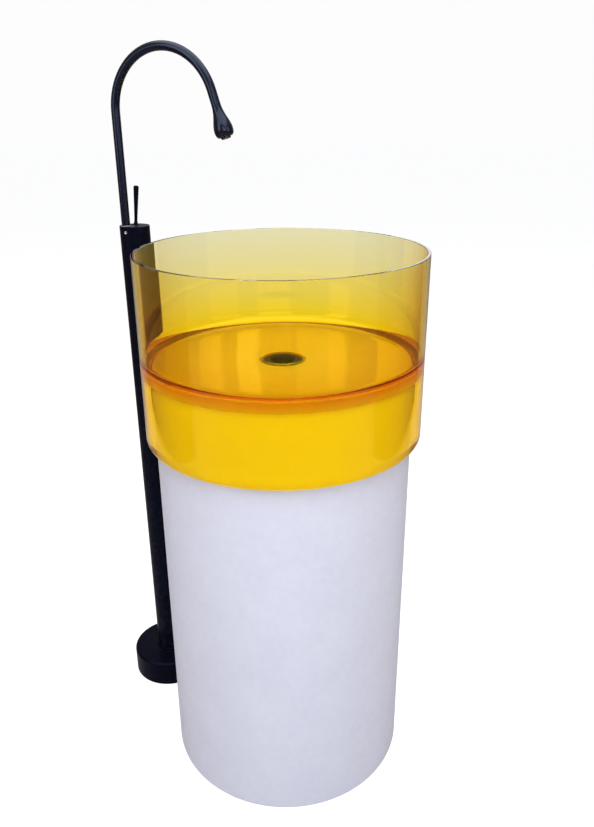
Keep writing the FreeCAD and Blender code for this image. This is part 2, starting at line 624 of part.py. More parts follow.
# ---- Tap: foot and column ----------------------------------------------------------------------
def plate_with_holes(low, high):
    plate = tube(BASE_PLATE_RADIUS, BASE_OPENING, low, high)
    holes = ring_of(ANCHOR_HOLES, lambda: rod(ANCHOR_HOLE, low, high, V(ANCHOR_CIRCLE, 0, 0)), 45)
    plate = cut_all(plate, holes)
    plate.translate(TAP)
    return plate


def base_gasket():
    return plate_with_holes(0, BASE_GASKET)


def base_plate():
    return plate_with_holes(BASE_GASKET, PLATE_TOP_Z)


def foot_screw_bore(radius, start, end):
    return lambda: cross_rod(radius, V(start, 0, FOOT_SCREW_HEIGHT), V(1, 0, 0), end - start)


def foot_socket():
    socket = tube(SOCKET_RADIUS, SOCKET_RADIUS - SOCKET_WALL, PLATE_TOP_Z, PLATE_TOP_Z + SOCKET_HEIGHT)
    bores = ring_of(FOOT_SCREWS, foot_screw_bore(FOOT_SCREW_RADIUS + THREAD_GAP, 0, COLUMN_RADIUS), 60)
    socket = cut_all(socket, bores)
    socket.translate(TAP)
    return socket


def foot_screws():
    start = SOCKET_RADIUS - SOCKET_WALL
    screws = ring_of(FOOT_SCREWS, foot_screw_bore(FOOT_SCREW_RADIUS, start, COLUMN_RADIUS - COVER_GAP), 60)
    keys = ring_of(FOOT_SCREWS, foot_screw_bore(FOOT_SCREW_RADIUS / 2, COLUMN_BORE, COLUMN_RADIUS), 60)
    screws = group([screw.cut(key) for screw, key in zip(screws, keys)])
    screws.translate(TAP)
    return screws


def stop_line():
    """Start point and direction of the stop screw's axis, and the column's surface along it."""
    way = heading(STOP_SCREW_TURN)
    toward = RISER_DX * way.x + RISER_DY * way.y
    away = RISER_DX ** 2 + RISER_DY ** 2 - COLUMN_RADIUS ** 2
    reach = -toward + math.sqrt(toward ** 2 - away)
    return V(RISER.x, RISER.y, STOP_HEIGHT_Z), way, reach


def tap_column():
    shape = Outline(COLUMN_BORE, PLATE_TOP_Z)
    shape.line(COLUMN_RADIUS, PLATE_TOP_Z)
    shape.line(COLUMN_RADIUS, COLUMN_TOP - COLUMN_EDGE)
    shape.line(COLUMN_RADIUS - COLUMN_EDGE, COLUMN_TOP)
    shape.line(COLUMN_BORE, COLUMN_TOP)
    column = shape.turned()
    bores = ring_of(FOOT_SCREWS, foot_screw_bore(FOOT_SCREW_RADIUS + THREAD_GAP, 0, COLUMN_RADIUS + 1), 60)
    column = cut_all(column, bores)
    column.translate(TAP)
    start, way, reach = stop_line()
    return column.cut(cross_rod(STOP_SCREW_RADIUS + THREAD_GAP, start, way, reach + 1))


def cover_bore():
    return COLUMN_RADIUS + COVER_GAP


def flange_cover():
    inner_edge = COVER_EDGE - COVER_WALL
    shape = Outline(COVER_RADIUS - COVER_WALL, 0)
    shape.line(COVER_RADIUS, 0)
    shape.line(COVER_RADIUS, COVER_HEIGHT - COVER_EDGE)
    shape.round(COVER_RADIUS - COVER_EDGE, COVER_HEIGHT - COVER_EDGE,
                COVER_RADIUS - COVER_EDGE, COVER_HEIGHT)
    shape.line(cover_bore(), COVER_HEIGHT)
    shape.line(cover_bore(), COVER_HEIGHT - COVER_WALL)
    shape.line(COVER_RADIUS - COVER_EDGE, COVER_HEIGHT - COVER_WALL)
    shape.round(COVER_RADIUS - COVER_EDGE, COVER_HEIGHT - COVER_EDGE,
                COVER_RADIUS - COVER_EDGE + inner_edge, COVER_HEIGHT - COVER_EDGE)
    return shape.turned(TAP)


def cover_cord_radius():
    return COLUMN_RADIUS + COVER_CORD_GAP + COVER_CORD


def cover_collar():
    low = COVER_HEIGHT
    high = COVER_HEIGHT + COLLAR_HEIGHT
    middle = (low + high) / 2
    groove_radius = cover_cord_radius() + COVER_CORD
    outer = cover_bore() + COLLAR_WIDTH
    shape = Outline(cover_bore(), low)
    shape.line(outer, low)
    shape.line(outer, high - COLUMN_EDGE)
    shape.round(outer - COLUMN_EDGE, high - COLUMN_EDGE, outer - COLUMN_EDGE, high)
    shape.line(cover_bore(), high)
    shape.line(cover_bore(), middle + COVER_CORD)
    shape.line(groove_radius, middle + COVER_CORD)
    shape.line(groove_radius, middle - COVER_CORD)
    shape.line(cover_bore(), middle - COVER_CORD)
    return shape.turned(TAP)


def cover_o_ring():
    return o_ring(cover_cord_radius(), COVER_CORD, COVER_HEIGHT + COLLAR_HEIGHT / 2, TAP)


# ---- Tap: head ---------------------------------------------------------------------------------
def plate_screw_at():
    return V(TAP_X + PLATE_SCREW_DX, TAP_Y + PLATE_SCREW_DY, 0)


def countersink(gap):
    head = PLATE_SCREW_HEAD - PLATE_SCREW_RADIUS
    at = plate_screw_at()
    foot = V(at.x, at.y, COLUMN_TOP - head)
    cone = Part.makeCone(PLATE_SCREW_RADIUS + gap, PLATE_SCREW_HEAD + gap, head, foot)
    return cone.fuse(rod(PLATE_SCREW_RADIUS + gap, COLUMN_TOP - PLATE_SCREW_LENGTH, COLUMN_TOP, at))


def head_plate():
    plate = rod(HEAD_RADIUS, HEAD_PLATE_UNDERSIDE, COLUMN_TOP, TAP)
    riser_hole = rod(SPIGOT_RADIUS + GLIDE_GAP + SPIGOT_GAP, HEAD_PLATE_UNDERSIDE, COLUMN_TOP, RISER)
    lever_hole = rod(LEVER_HOLE, HEAD_PLATE_UNDERSIDE, COLUMN_TOP, LEVER)
    return cut_all(plate, [riser_hole, lever_hole, countersink(THREAD_GAP)])


def plate_screw():
    at = plate_screw_at()
    recess = hexagon(PLATE_SCREW_RADIUS * 1.3, COLUMN_TOP - PLATE_SCREW_RADIUS * 0.8, COLUMN_TOP, at)
    return countersink(0).cut(recess)


def port_places():
    """Inlet ports left and right, then the outlet port, on the cartridge's floor."""
    left = LEVER + V(-PORT_DX, PORT_DY, 0)
    right = LEVER + V(PORT_DX, PORT_DY, 0)
    return [left, right, LEVER + V(0, OUTLET_PORT_DY, 0)]


def ports(low, high):
    return [rod(PORT_RADIUS, low, high, place) for place in port_places()]


def hose_places():
    return [TAP + V(-HOSE_DX, HOSE_DY, 0), TAP + V(HOSE_DX, HOSE_DY, 0)]


def valve_body():
    body = rod(HEAD_RADIUS, BODY_BOTTOM, HEAD_PLATE_UNDERSIDE, TAP)
    riser_floor = CHANNEL_HEIGHT - PORT_RADIUS - RISER_SUMP
    riser_bore = rod(SPIGOT_RADIUS + SPIGOT_GAP, riser_floor, COLUMN_TOP, RISER)
    cartridge_bore = rod(CARTRIDGE_RADIUS + CARTRIDGE_GAP, CARTRIDGE_FLOOR, COLUMN_TOP, LEVER)
    thread_top = BODY_BOTTOM + UNION_THREAD_LENGTH + SEAL
    cuts = [riser_bore, cartridge_bore, countersink(THREAD_GAP)]
    for place in hose_places():
        cuts.append(rod(UNION_THREAD + THREAD_GAP, BODY_BOTTOM, thread_top, place))
    for place in port_places()[:2]:
        cuts.append(rod(PORT_RADIUS, thread_top - SEAL, CARTRIDGE_FLOOR, place))
    outlet = port_places()[2]
    cuts.append(rod(PORT_RADIUS, CHANNEL_HEIGHT, CARTRIDGE_FLOOR, outlet))
    channel_start = V(RISER.x, RISER.y, CHANNEL_HEIGHT)
    channel_way = V(outlet.x - RISER.x, outlet.y - RISER.y, 0)
    cuts.append(cross_rod(PORT_RADIUS, channel_start, channel_way, channel_way.Length))
    start, way, reach = stop_line()
    cuts.append(cross_rod(STOP_SCREW_RADIUS + THREAD_GAP, start, way, reach))
    return cut_all(body, cuts)


def stop_screw():
    start, way, reach = stop_line()
    tip = STOP_RADIUS + STOP_POINT_GAP
    shoulder = SPIGOT_RADIUS + STOP_POINT_GAP + STOP_POINT_GAP
    end = reach - STOP_SCREW_SUNK
    point = cross_rod(STOP_POINT_RADIUS, start + way * tip, way, shoulder - tip + 1)
    shank = cross_rod(STOP_SCREW_RADIUS, start + way * shoulder, way, end - shoulder)
    key_depth = STOP_SCREW_RADIUS
    key = cross_rod(STOP_SCREW_RADIUS / 2, start + way * (end - key_depth), way, key_depth)
    return point.fuse(shank).cut(key).removeSplitter()


# ---- Tap: cartridge ----------------------------------------------------------------------------
def cartridge_seal():
    return cut_all(rod(CARTRIDGE_RADIUS - 1, CARTRIDGE_FLOOR, CARTRIDGE_BASE_BOTTOM, LEVER),
                   ports(CARTRIDGE_FLOOR, CARTRIDGE_BASE_BOTTOM))


def cartridge_base():
    return cut_all(rod(CARTRIDGE_RADIUS, CARTRIDGE_BASE_BOTTOM, FIXED_DISC_BOTTOM, LEVER),
                   ports(CARTRIDGE_BASE_BOTTOM, FIXED_DISC_BOTTOM))


def fixed_disc():
    top = FIXED_DISC_BOTTOM + DISC
    return cut_all(rod(FIXED_DISC_RADIUS, FIXED_DISC_BOTTOM, top, LEVER), ports(FIXED_DISC_BOTTOM, top))


def cartridge_housing():
    return tube(CARTRIDGE_RADIUS, HOUSING_INSIDE, FIXED_DISC_BOTTOM, HEAD_PLATE_UNDERSIDE, LEVER)


def stem_end():
    """Centre of the stem's round end, which is where the moving pieces stand at rest."""
    lean = math.radians(STEM_LEAN)
    return LEVER + V(-LEVER_ARM * math.sin(lean), 0, BALL_HEIGHT - LEVER_ARM * math.cos(lean))


def moving_disc():
    at = stem_end()
    disc = rod(MOVING_DISC_RADIUS, MOVING_DISC_BOTTOM, CARRIER_BOTTOM, at)
    mixing_pocket = rod(MOVING_DISC_RADIUS * 0.6, MOVING_DISC_BOTTOM, MOVING_DISC_BOTTOM + DISC / 2, at)
    return disc.cut(mixing_pocket)


def disc_carrier():
    at = stem_end()
    plate = rod(CARRIER_RADIUS, CARRIER_BOTTOM, CARRIER_BOTTOM + CARRIER_PLATE, at)
    block_top = at.z + STEM_END_RADIUS
    corner = V(at.x - CARRIER_HALF_LENGTH, at.y - CARRIER_HALF_WIDTH, CARRIER_BOTTOM)
    height = block_top - CARRIER_BOTTOM
    block = Part.makeBox(2 * CARRIER_HALF_LENGTH, 2 * CARRIER_HALF_WIDTH, height, corner)
    socket = rod(STEM_END_RADIUS + STEM_SOCKET_GAP, at.z - 2 * STEM_END_RADIUS, block_top, at)
    return plate.fuse(block).removeSplitter().cut(socket)


def lever_turret():
    top = HEAD_PLATE_UNDERSIDE - TURRET_PLATE_GAP
    low = BALL_HEIGHT - BALL_RADIUS - AXLE_RADIUS
    ring = tube(TURRET_RADIUS, BALL_RADIUS + TURRET_BORE_GAP, low, top, LEVER)
    leg_bottom = CARRIER_BOTTOM + CARRIER_PLATE + TURRET_PLATE_GAP
    inner = CARRIER_HALF_WIDTH + CARRIER_GUIDE_GAP
    for side in (-1, 1):
        near = min(side * inner, side * (inner + TURRET_LEG))
        corner = LEVER + V(-CARRIER_HALF_LENGTH, near, leg_bottom)
        leg = Part.makeBox(2 * CARRIER_HALF_LENGTH, TURRET_LEG, low - leg_bottom + 1, corner)
        ring = ring.fuse(leg.common(rod(TURRET_RADIUS, leg_bottom, low + 1, LEVER)))
    axle_hole = cross_rod(AXLE_RADIUS, V(LEVER.x, LEVER.y - TURRET_RADIUS, BALL_HEIGHT),
                          V(0, 1, 0), 2 * TURRET_RADIUS)
    return ring.removeSplitter().cut(axle_hole)


def lever_axle():
    half = TURRET_RADIUS - 0.4
    return cross_rod(AXLE_RADIUS, V(LEVER.x, LEVER.y - half, BALL_HEIGHT), V(0, 1, 0), 2 * half)


def lever_spindle():
    centre = LEVER + V(0, 0, BALL_HEIGHT)
    ball = Part.makeSphere(BALL_RADIUS, centre)
    stem = rod(STEM_RADIUS, BALL_HEIGHT - LEVER_ARM, BALL_HEIGHT, LEVER)
    end = Part.makeSphere(STEM_END_RADIUS, LEVER + V(0, 0, BALL_HEIGHT - LEVER_ARM))
    inner = leaned(stem.fuse(end), STEM_LEAN, centre)
    axle_hole = cross_rod(AXLE_RADIUS + AXLE_GAP, V(LEVER.x, LEVER.y - BALL_RADIUS, BALL_HEIGHT),
                          V(0, 1, 0), 2 * BALL_RADIUS)
    stud = leaned(rod(STEM_RADIUS, BALL_HEIGHT, BALL_HEIGHT + BALL_RADIUS + LEVER_WAIST_HEIGHT, LEVER),
                  LEVER_LEAN, centre)
    return ball.fuse(inner).fuse(stud).removeSplitter().cut(axle_hole)


def lever_handle():
    foot = BALL_HEIGHT + BALL_RADIUS * 0.93
    end = BALL_HEIGHT + BALL_RADIUS + LEVER_LENGTH
    waist = foot + LEVER_WAIST_HEIGHT
    shape = Outline(0, foot)
    shape.line(LEVER_FOOT_RADIUS, foot)
    shape.curve([(LEVER_WAIST_RADIUS + 0.4, foot + LEVER_WAIST_HEIGHT / 3), (LEVER_WAIST_RADIUS, waist)])
    shape.line(LEVER_TOP_RADIUS, end - LEVER_TOP_ROUND)
    shape.round(LEVER_TOP_RADIUS - LEVER_TOP_ROUND, end - LEVER_TOP_ROUND,
                LEVER_TOP_RADIUS - LEVER_TOP_ROUND, end)
    shape.line(0, end)
    handle = leaned(shape.turned(LEVER), LEVER_LEAN, LEVER + V(0, 0, BALL_HEIGHT))
    return handle.cut(lever_spindle())


# ---- Tap: hoses --------------------------------------------------------------------------------
def hose_top():
    return BODY_BOTTOM - UNION_HEX


def hose_nut_top():
    return HOSE_NUT_BOTTOM + HOSE_NUT_HEIGHT


def hose(place):
    return tube(HOSE_RADIUS, HOSE_BORE, hose_nut_top(), hose_top(), place)


def hot_hose():
    return hose(hose_places()[0])


def cold_hose():
    return hose(hose_places()[1])


def hose_unions():
    pieces = []
    for place in hose_places():
        thread = rod(UNION_THREAD, BODY_BOTTOM, BODY_BOTTOM + UNION_THREAD_LENGTH, place)
        grip = hexagon(UNION_FLATS, BODY_BOTTOM - UNION_HEX, BODY_BOTTOM, place)
        barb_end = BODY_BOTTOM - UNION_HEX - FERRULE_LENGTH
        barb = rod(HOSE_BORE - THREAD_GAP, barb_end, BODY_BOTTOM, place)
        bore = rod(UNION_BORE, barb_end, BODY_BOTTOM + UNION_THREAD_LENGTH, place)
        pieces.append(thread.fuse(grip).fuse(barb).cut(bore))
    return group(pieces)


def hose_ferrules():
    pieces = []
    for place in hose_places():
        for low in (hose_nut_top(), hose_top() - FERRULE_LENGTH):
            pieces.append(tube(FERRULE_RADIUS, HOSE_RADIUS, low, low + FERRULE_LENGTH, place))
    return group(pieces)


def hose_nuts():
    pieces = []
    for place in hose_places():
        nut = hexagon(HOSE_NUT_FLATS, HOSE_NUT_BOTTOM, hose_nut_top(), place, 30)
        thread_end = HOSE_NUT_BOTTOM + HOSE_NUT_THREAD_LENGTH
        nut = nut.cut(rod(HOSE_NUT_THREAD, HOSE_NUT_BOTTOM, thread_end, place))
        nut = nut.cut(rod(HOSE_WASHER_SEAT, thread_end, thread_end + SEAL, place))
        pieces.append(nut.cut(rod(HOSE_BORE, thread_end, hose_nut_top(), place)))
    return group(pieces)


def hose_washers():
    low = HOSE_NUT_BOTTOM + HOSE_NUT_THREAD_LENGTH
    return group([tube(HOSE_WASHER_SEAT - THREAD_GAP, HOSE_BORE, low, low + SEAL, place)
                  for place in hose_places()])


# ---- Tap: spout --------------------------------------------------------------------------------
def bend_end():
    """Centre of the tube's section where the bend ends, and the direction that it leaves in."""
    left = 180.0 - SPOUT_BEND_TURN
    out = SPOUT_BEND * (1 + math.cos(math.radians(left)))
    rise = SPOUT_BEND * math.sin(math.radians(left))
    centre = RISER + heading(SPOUT_HEADING) * out + V(0, 0, SPOUT_BEND_HEIGHT + rise)
    return centre, heading(SPOUT_HEADING, left - 90.0)


def along_drop(shape):
    """Places a shape made along +Z from the origin on the spout's last straight, pointing down it."""
    centre, way = bend_end()
    shape.Placement = FreeCAD.Placement(centre, FreeCAD.Rotation(UP, way)).multiply(shape.Placement)
    return shape


def gooseneck(radius, low, tail):
    """A solid bar along the spout: up the riser, round the bend and on down by tail."""
    riser = rod(radius, low, SPOUT_BEND_HEIGHT, RISER)
    level = heading(SPOUT_HEADING)
    disc = Part.Face(Part.Wire(Part.makeCircle(radius, RISER + V(0, 0, SPOUT_BEND_HEIGHT), UP)))
    centre = RISER + level * SPOUT_BEND + V(0, 0, SPOUT_BEND_HEIGHT)
    bend = disc.revolve(centre, UP.cross(level), SPOUT_BEND_TURN)
    end = along_drop(rod(radius, 0, tail))
    return riser.fuse(bend).fuse(end)


def stop_groove():
    """The part-round groove in the spigot that the stop screw's point runs in."""
    point_angle = math.degrees(math.asin((STOP_POINT_RADIUS + THREAD_GAP) / STOP_RADIUS))
    half = SPOUT_STOP_TURN + point_angle + 1.0
    low = STOP_HEIGHT_Z - STOP_HEIGHT / 2
    outer = Part.makeCylinder(SPIGOT_RADIUS + 1, STOP_HEIGHT, V(0, 0, low), UP, 2 * half)
    groove = outer.cut(rod(STOP_RADIUS, low, low + STOP_HEIGHT))
    groove.rotate(V(0, 0, 0), UP, STOP_SCREW_TURN - half)
    groove.translate(RISER)
    return groove


def cord_grooves():
    grooves = []
    for depth in SPOUT_CORD_DEPTHS:
        middle = COLUMN_TOP - depth
        bottom = SPIGOT_RADIUS - 2 * SPOUT_CORD
        grooves.append(tube(SPIGOT_RADIUS + 1, bottom, middle - SPOUT_CORD, middle + SPOUT_CORD, RISER))
    return grooves


def spout_tube():
    outer = gooseneck(TUBE_RADIUS, RISER_FOOT, DROP_JOINT)
    sleeve = along_drop(rod(TUBE_BORE + TUBE_WALL / 2, 0, DROP_JOINT + DROP_SLEEVE))
    spigot = rod(SPIGOT_RADIUS, SPIGOT_END, RISER_FOOT + TUBE_WALL, RISER)
    solid = outer.fuse(sleeve).fuse(spigot).removeSplitter()
    bore = gooseneck(TUBE_BORE, RISER_FOOT + 2 * TUBE_WALL, DROP_JOINT + DROP_SLEEVE)
    spigot_bore = rod(SPIGOT_BORE, SPIGOT_END, RISER_FOOT + 3 * TUBE_WALL, RISER)
    return cut_all(solid, [bore, spigot_bore, stop_groove()] + cord_grooves())


def spout_o_rings():
    radius = SPIGOT_RADIUS - SPOUT_CORD
    return group([o_ring(radius, SPOUT_CORD, COLUMN_TOP - depth, RISER) for depth in SPOUT_CORD_DEPTHS])


def glide_ring():
    return tube(TUBE_RADIUS + GLIDE_RING, SPIGOT_RADIUS + GLIDE_GAP + SPIGOT_GAP,
                COLUMN_TOP, COLUMN_TOP + GLIDE_RING, RISER)


def drop_nozzle():
    cavity = AERATOR_RADIUS + AERATOR_GAP
    cavity_top = DROP_LENGTH - AERATOR_LENGTH - SEAL
    span = DROP_WIDEST - DROP_JOINT
    grow = DROP_RADIUS - TUBE_RADIUS
    side = [(TUBE_RADIUS + 0.10 * grow, DROP_JOINT + 0.25 * span),
            (TUBE_RADIUS + 0.34 * grow, DROP_JOINT + 0.50 * span),
            (TUBE_RADIUS + 0.76 * grow, DROP_JOINT + 0.75 * span),
            (DROP_RADIUS, DROP_WIDEST),
            (DROP_MOUTH + 0.66 * (DROP_RADIUS - DROP_MOUTH),
             DROP_WIDEST + 0.72 * (DROP_LENGTH - DROP_WIDEST)),
            (DROP_MOUTH, DROP_LENGTH)]
    shape = Outline(TUBE_BORE + TUBE_WALL / 2, DROP_JOINT)
    shape.line(TUBE_RADIUS, DROP_JOINT)
    shape.curve(side)
    shape.line(cavity, DROP_LENGTH)
    shape.line(cavity, cavity_top)
    shape.line(TUBE_BORE, cavity_top)
    shape.line(TUBE_BORE, DROP_JOINT + DROP_SLEEVE)
    shape.line(TUBE_BORE + TUBE_WALL / 2, DROP_JOINT + DROP_SLEEVE)
    return along_drop(shape.turned())


def aerator_washer():
    low = DROP_LENGTH - AERATOR_LENGTH - SEAL
    return along_drop(tube(AERATOR_RADIUS, INSERT_RADIUS, low, low + SEAL))


def aerator_housing():
    low = DROP_LENGTH - AERATOR_LENGTH
    end = DROP_LENGTH + AERATOR_LIP
    ease = COLUMN_EDGE
    shape = Outline(INSERT_RADIUS + AERATOR_GAP, low)
    shape.line(AERATOR_RADIUS, low)
    shape.line(AERATOR_RADIUS, DROP_LENGTH)
    shape.line(AERATOR_LIP_RADIUS, DROP_LENGTH)
    shape.line(AERATOR_LIP_RADIUS, end - ease)
    shape.round(AERATOR_LIP_RADIUS - ease, end - ease, AERATOR_LIP_RADIUS - ease, end)
    shape.line(INSERT_RADIUS + AERATOR_GAP, end)
    return along_drop(shape.turned())


def aerator_insert():
    low = DROP_LENGTH - AERATOR_LENGTH
    end = DROP_LENGTH + AERATOR_LIP - COLUMN_EDGE
    insert = rod(INSERT_RADIUS, low, end)
    holes = ring_of(INSERT_HOLES, lambda: rod(INSERT_HOLE, low, end, V(INSERT_RING, 0, 0)))
    return along_drop(cut_all(insert, holes + [rod(INSERT_HOLE, low, end)]))


# ---- Nodes -------------------------------------------------------------------------------------
NODES = {
    "basin_wall": basin_wall,
    "basin_base": basin_base,
    "bedding_pad": bedding_pad,
    "pedestal_shell": pedestal_shell,
    "pedestal_top_plate": pedestal_top_plate,
    "floor_cleats": lambda: group(ring_of(CLEATS, one_cleat, CLEAT_TURN)),
    "cleat_screws": lambda: group(ring_of(CLEATS, one_cleat_screw, CLEAT_TURN)),
    "waste_body": waste_body,
    "waste_upper_seal": waste_upper_seal,
    "waste_lower_seal": waste_lower_seal,
    "waste_backnut": waste_backnut,
    "trap_inlet_tube": trap_inlet_tube,
    "inlet_washer": inlet_washer,
    "inlet_nut": inlet_nut,
    "trap_head": trap_head,
    "tube_washer": tube_washer,
    "tube_nut": tube_nut,
    "trap_cup": trap_cup,
    "cup_seal": cup_seal,
    "outlet_washer": outlet_washer,
    "outlet_nut": outlet_nut,
    "outlet_pipe": outlet_pipe,
    "base_gasket": base_gasket,
    "base_plate": base_plate,
    "foot_socket": foot_socket,
    "foot_screws": foot_screws,
    "tap_column": tap_column,
    "flange_cover": flange_cover,
    "cover_collar": cover_collar,
    "cover_o_ring": cover_o_ring,
    "head_plate": head_plate,
    "plate_screw": plate_screw,
    "valve_body": valve_body,
    "stop_screw": stop_screw,
    "cartridge_seal": cartridge_seal,
    "cartridge_base": cartridge_base,
    "fixed_disc": fixed_disc,
    "cartridge_housing": cartridge_housing,
    "moving_disc": moving_disc,
    "disc_carrier": disc_carrier,
    "lever_turret": lever_turret,
    "lever_axle": lever_axle,
    "lever_spindle": lever_spindle,
    "lever_handle": lever_handle,
    "hot_hose": hot_hose,
    "cold_hose": cold_hose,
    "hose_unions": hose_unions,
    "hose_ferrules": hose_ferrules,
    "hose_nuts": hose_nuts,
    "hose_washers": hose_washers,
    "spout_tube": spout_tube,
    "spout_o_rings": spout_o_rings,
    "glide_ring": glide_ring,
    "drop_nozzle": drop_nozzle,
    "aerator_washer": aerator_washer,
    "aerator_housing": aerator_housing,
    "aerator_insert": aerator_insert,
}

os.makedirs("parts", exist_ok=True)
for name, make in NODES.items():
    piece = make()
    if not piece.isValid():
        print("not valid:", name)
    piece.exportStep("parts/" + name + ".step")
    print(name, len(piece.Solids), round(piece.Volume))
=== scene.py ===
"""A freestanding amber resin washbasin with a floor-standing black mixer tap, around its CAD frame."""

import json
import logging
import math
from dataclasses import dataclass
from enum import Enum
from typing import Callable, Iterable, Sequence, Union

import bmesh
import bpy
from mathutils import Matrix, Vector


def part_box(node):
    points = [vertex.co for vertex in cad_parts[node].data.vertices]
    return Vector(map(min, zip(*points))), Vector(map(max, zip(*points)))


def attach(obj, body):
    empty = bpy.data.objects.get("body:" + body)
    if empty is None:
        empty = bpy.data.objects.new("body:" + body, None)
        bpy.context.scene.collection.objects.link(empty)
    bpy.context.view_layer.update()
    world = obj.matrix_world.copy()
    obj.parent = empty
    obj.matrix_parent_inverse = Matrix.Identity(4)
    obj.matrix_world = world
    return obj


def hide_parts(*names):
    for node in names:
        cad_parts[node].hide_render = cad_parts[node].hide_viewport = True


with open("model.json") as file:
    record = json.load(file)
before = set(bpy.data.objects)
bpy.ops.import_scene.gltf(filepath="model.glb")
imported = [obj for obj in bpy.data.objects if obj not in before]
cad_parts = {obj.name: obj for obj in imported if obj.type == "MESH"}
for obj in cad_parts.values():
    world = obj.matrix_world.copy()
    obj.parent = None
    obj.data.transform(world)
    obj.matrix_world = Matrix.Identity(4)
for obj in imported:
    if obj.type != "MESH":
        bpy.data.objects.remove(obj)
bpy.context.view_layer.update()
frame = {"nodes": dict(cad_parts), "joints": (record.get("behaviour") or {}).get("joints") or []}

LOG = logging.getLogger("washbasin")
MM = 0.001
UP = Vector((0.0, 0.0, 1.0))
SHARP_ANGLE = math.radians(32.0)
MERGE_DISTANCE = 1e-6
QUARTER_TURN = math.pi / 2
FULL_TURN = 2 * math.pi

Colour = tuple[float, float, float, float]
Place = tuple[float, float, float]
Signal = Union[bpy.types.NodeSocket, float, Colour, Place]


class Body(Enum):
    """The rigid bodies that new pieces ride on."""

    STAND = "stand"
    SPOUT = "spout"
    LEVER = "lever"
    COVER = "cover"


class Slot(Enum):
    """The record's material slots; no piece here is given one."""

    RESIN = "amber_resin"
    SOLID_SURFACE = "white_solid_surface"
    SILICONE = "white_silicone"
    ZINC = "galvanised_steel"
    BLACK = "black_metal"


# ---- Shader graphs -----------------------------------------------------------------------------
class Graph:
    """Adds and joins the nodes of one shader tree."""

    def __init__(self, tree: bpy.types.NodeTree) -> None:
        """Takes the tree to build in."""
        self.tree = tree

    def node(self, kind: str, inputs: dict | None = None, **settings: object) -> bpy.types.Node:
        """Adds a node.

        Args:
            kind: The node's type without the ShaderNode prefix.
            inputs: Values, or sockets to join, for its inputs by name or number.
            settings: Attributes of the node.

        Returns:
            The new node.
        """
        made = self.tree.nodes.new("ShaderNode" + kind)
        for name, value in settings.items():
            setattr(made, name, value)
        for name, value in (inputs or {}).items():
            self.feed(made.inputs[name], value)
        return made

    def feed(self, socket: bpy.types.NodeSocket, value: Signal) -> None:
        """Joins a socket to an input, or sets the input's value."""
        if isinstance(value, bpy.types.NodeSocket):
            self.tree.links.new(value, socket)
        else:
            socket.default_value = value

    def math(self, operation: str, first: Signal, second: Signal = 0.0,
             clamp: bool = False) -> bpy.types.NodeSocket:
        """Adds a Math node and returns its output."""
        made = self.node("Math", {0: first, 1: second}, operation=operation, use_clamp=clamp)
        return made.outputs[0]

    def scaled(self, value: Signal, low: float, high: float, start: float = 0.0,
               end: float = 1.0) -> bpy.types.NodeSocket:
        """Maps a value from start..end to low..high and returns the result."""
        made = self.node("MapRange", {"Value": value, "From Min": start, "From Max": end,
                                      "To Min": low, "To Max": high})
        return made.outputs["Result"]

    def blend(self, share: Signal, first: Signal, second: Signal) -> bpy.types.NodeSocket:
        """Mixes two colours by a share and returns the result."""
        made = self.node("Mix", data_type="RGBA")
        self.feed(made.inputs["Factor"], share)
        self.feed(made.inputs["A"], first)
        self.feed(made.inputs["B"], second)
        return made.outputs["Result"]

    def place(self, location: Place = (0.0, 0.0, 0.0),
              scale: Place = (1.0, 1.0, 1.0)) -> bpy.types.NodeSocket:
        """Object coordinates, moved and stretched, as a vector output."""
        source = self.node("TexCoord").outputs["Object"]
        made = self.node("Mapping", {"Vector": source, "Location": location, "Scale": scale})
        return made.outputs["Vector"]


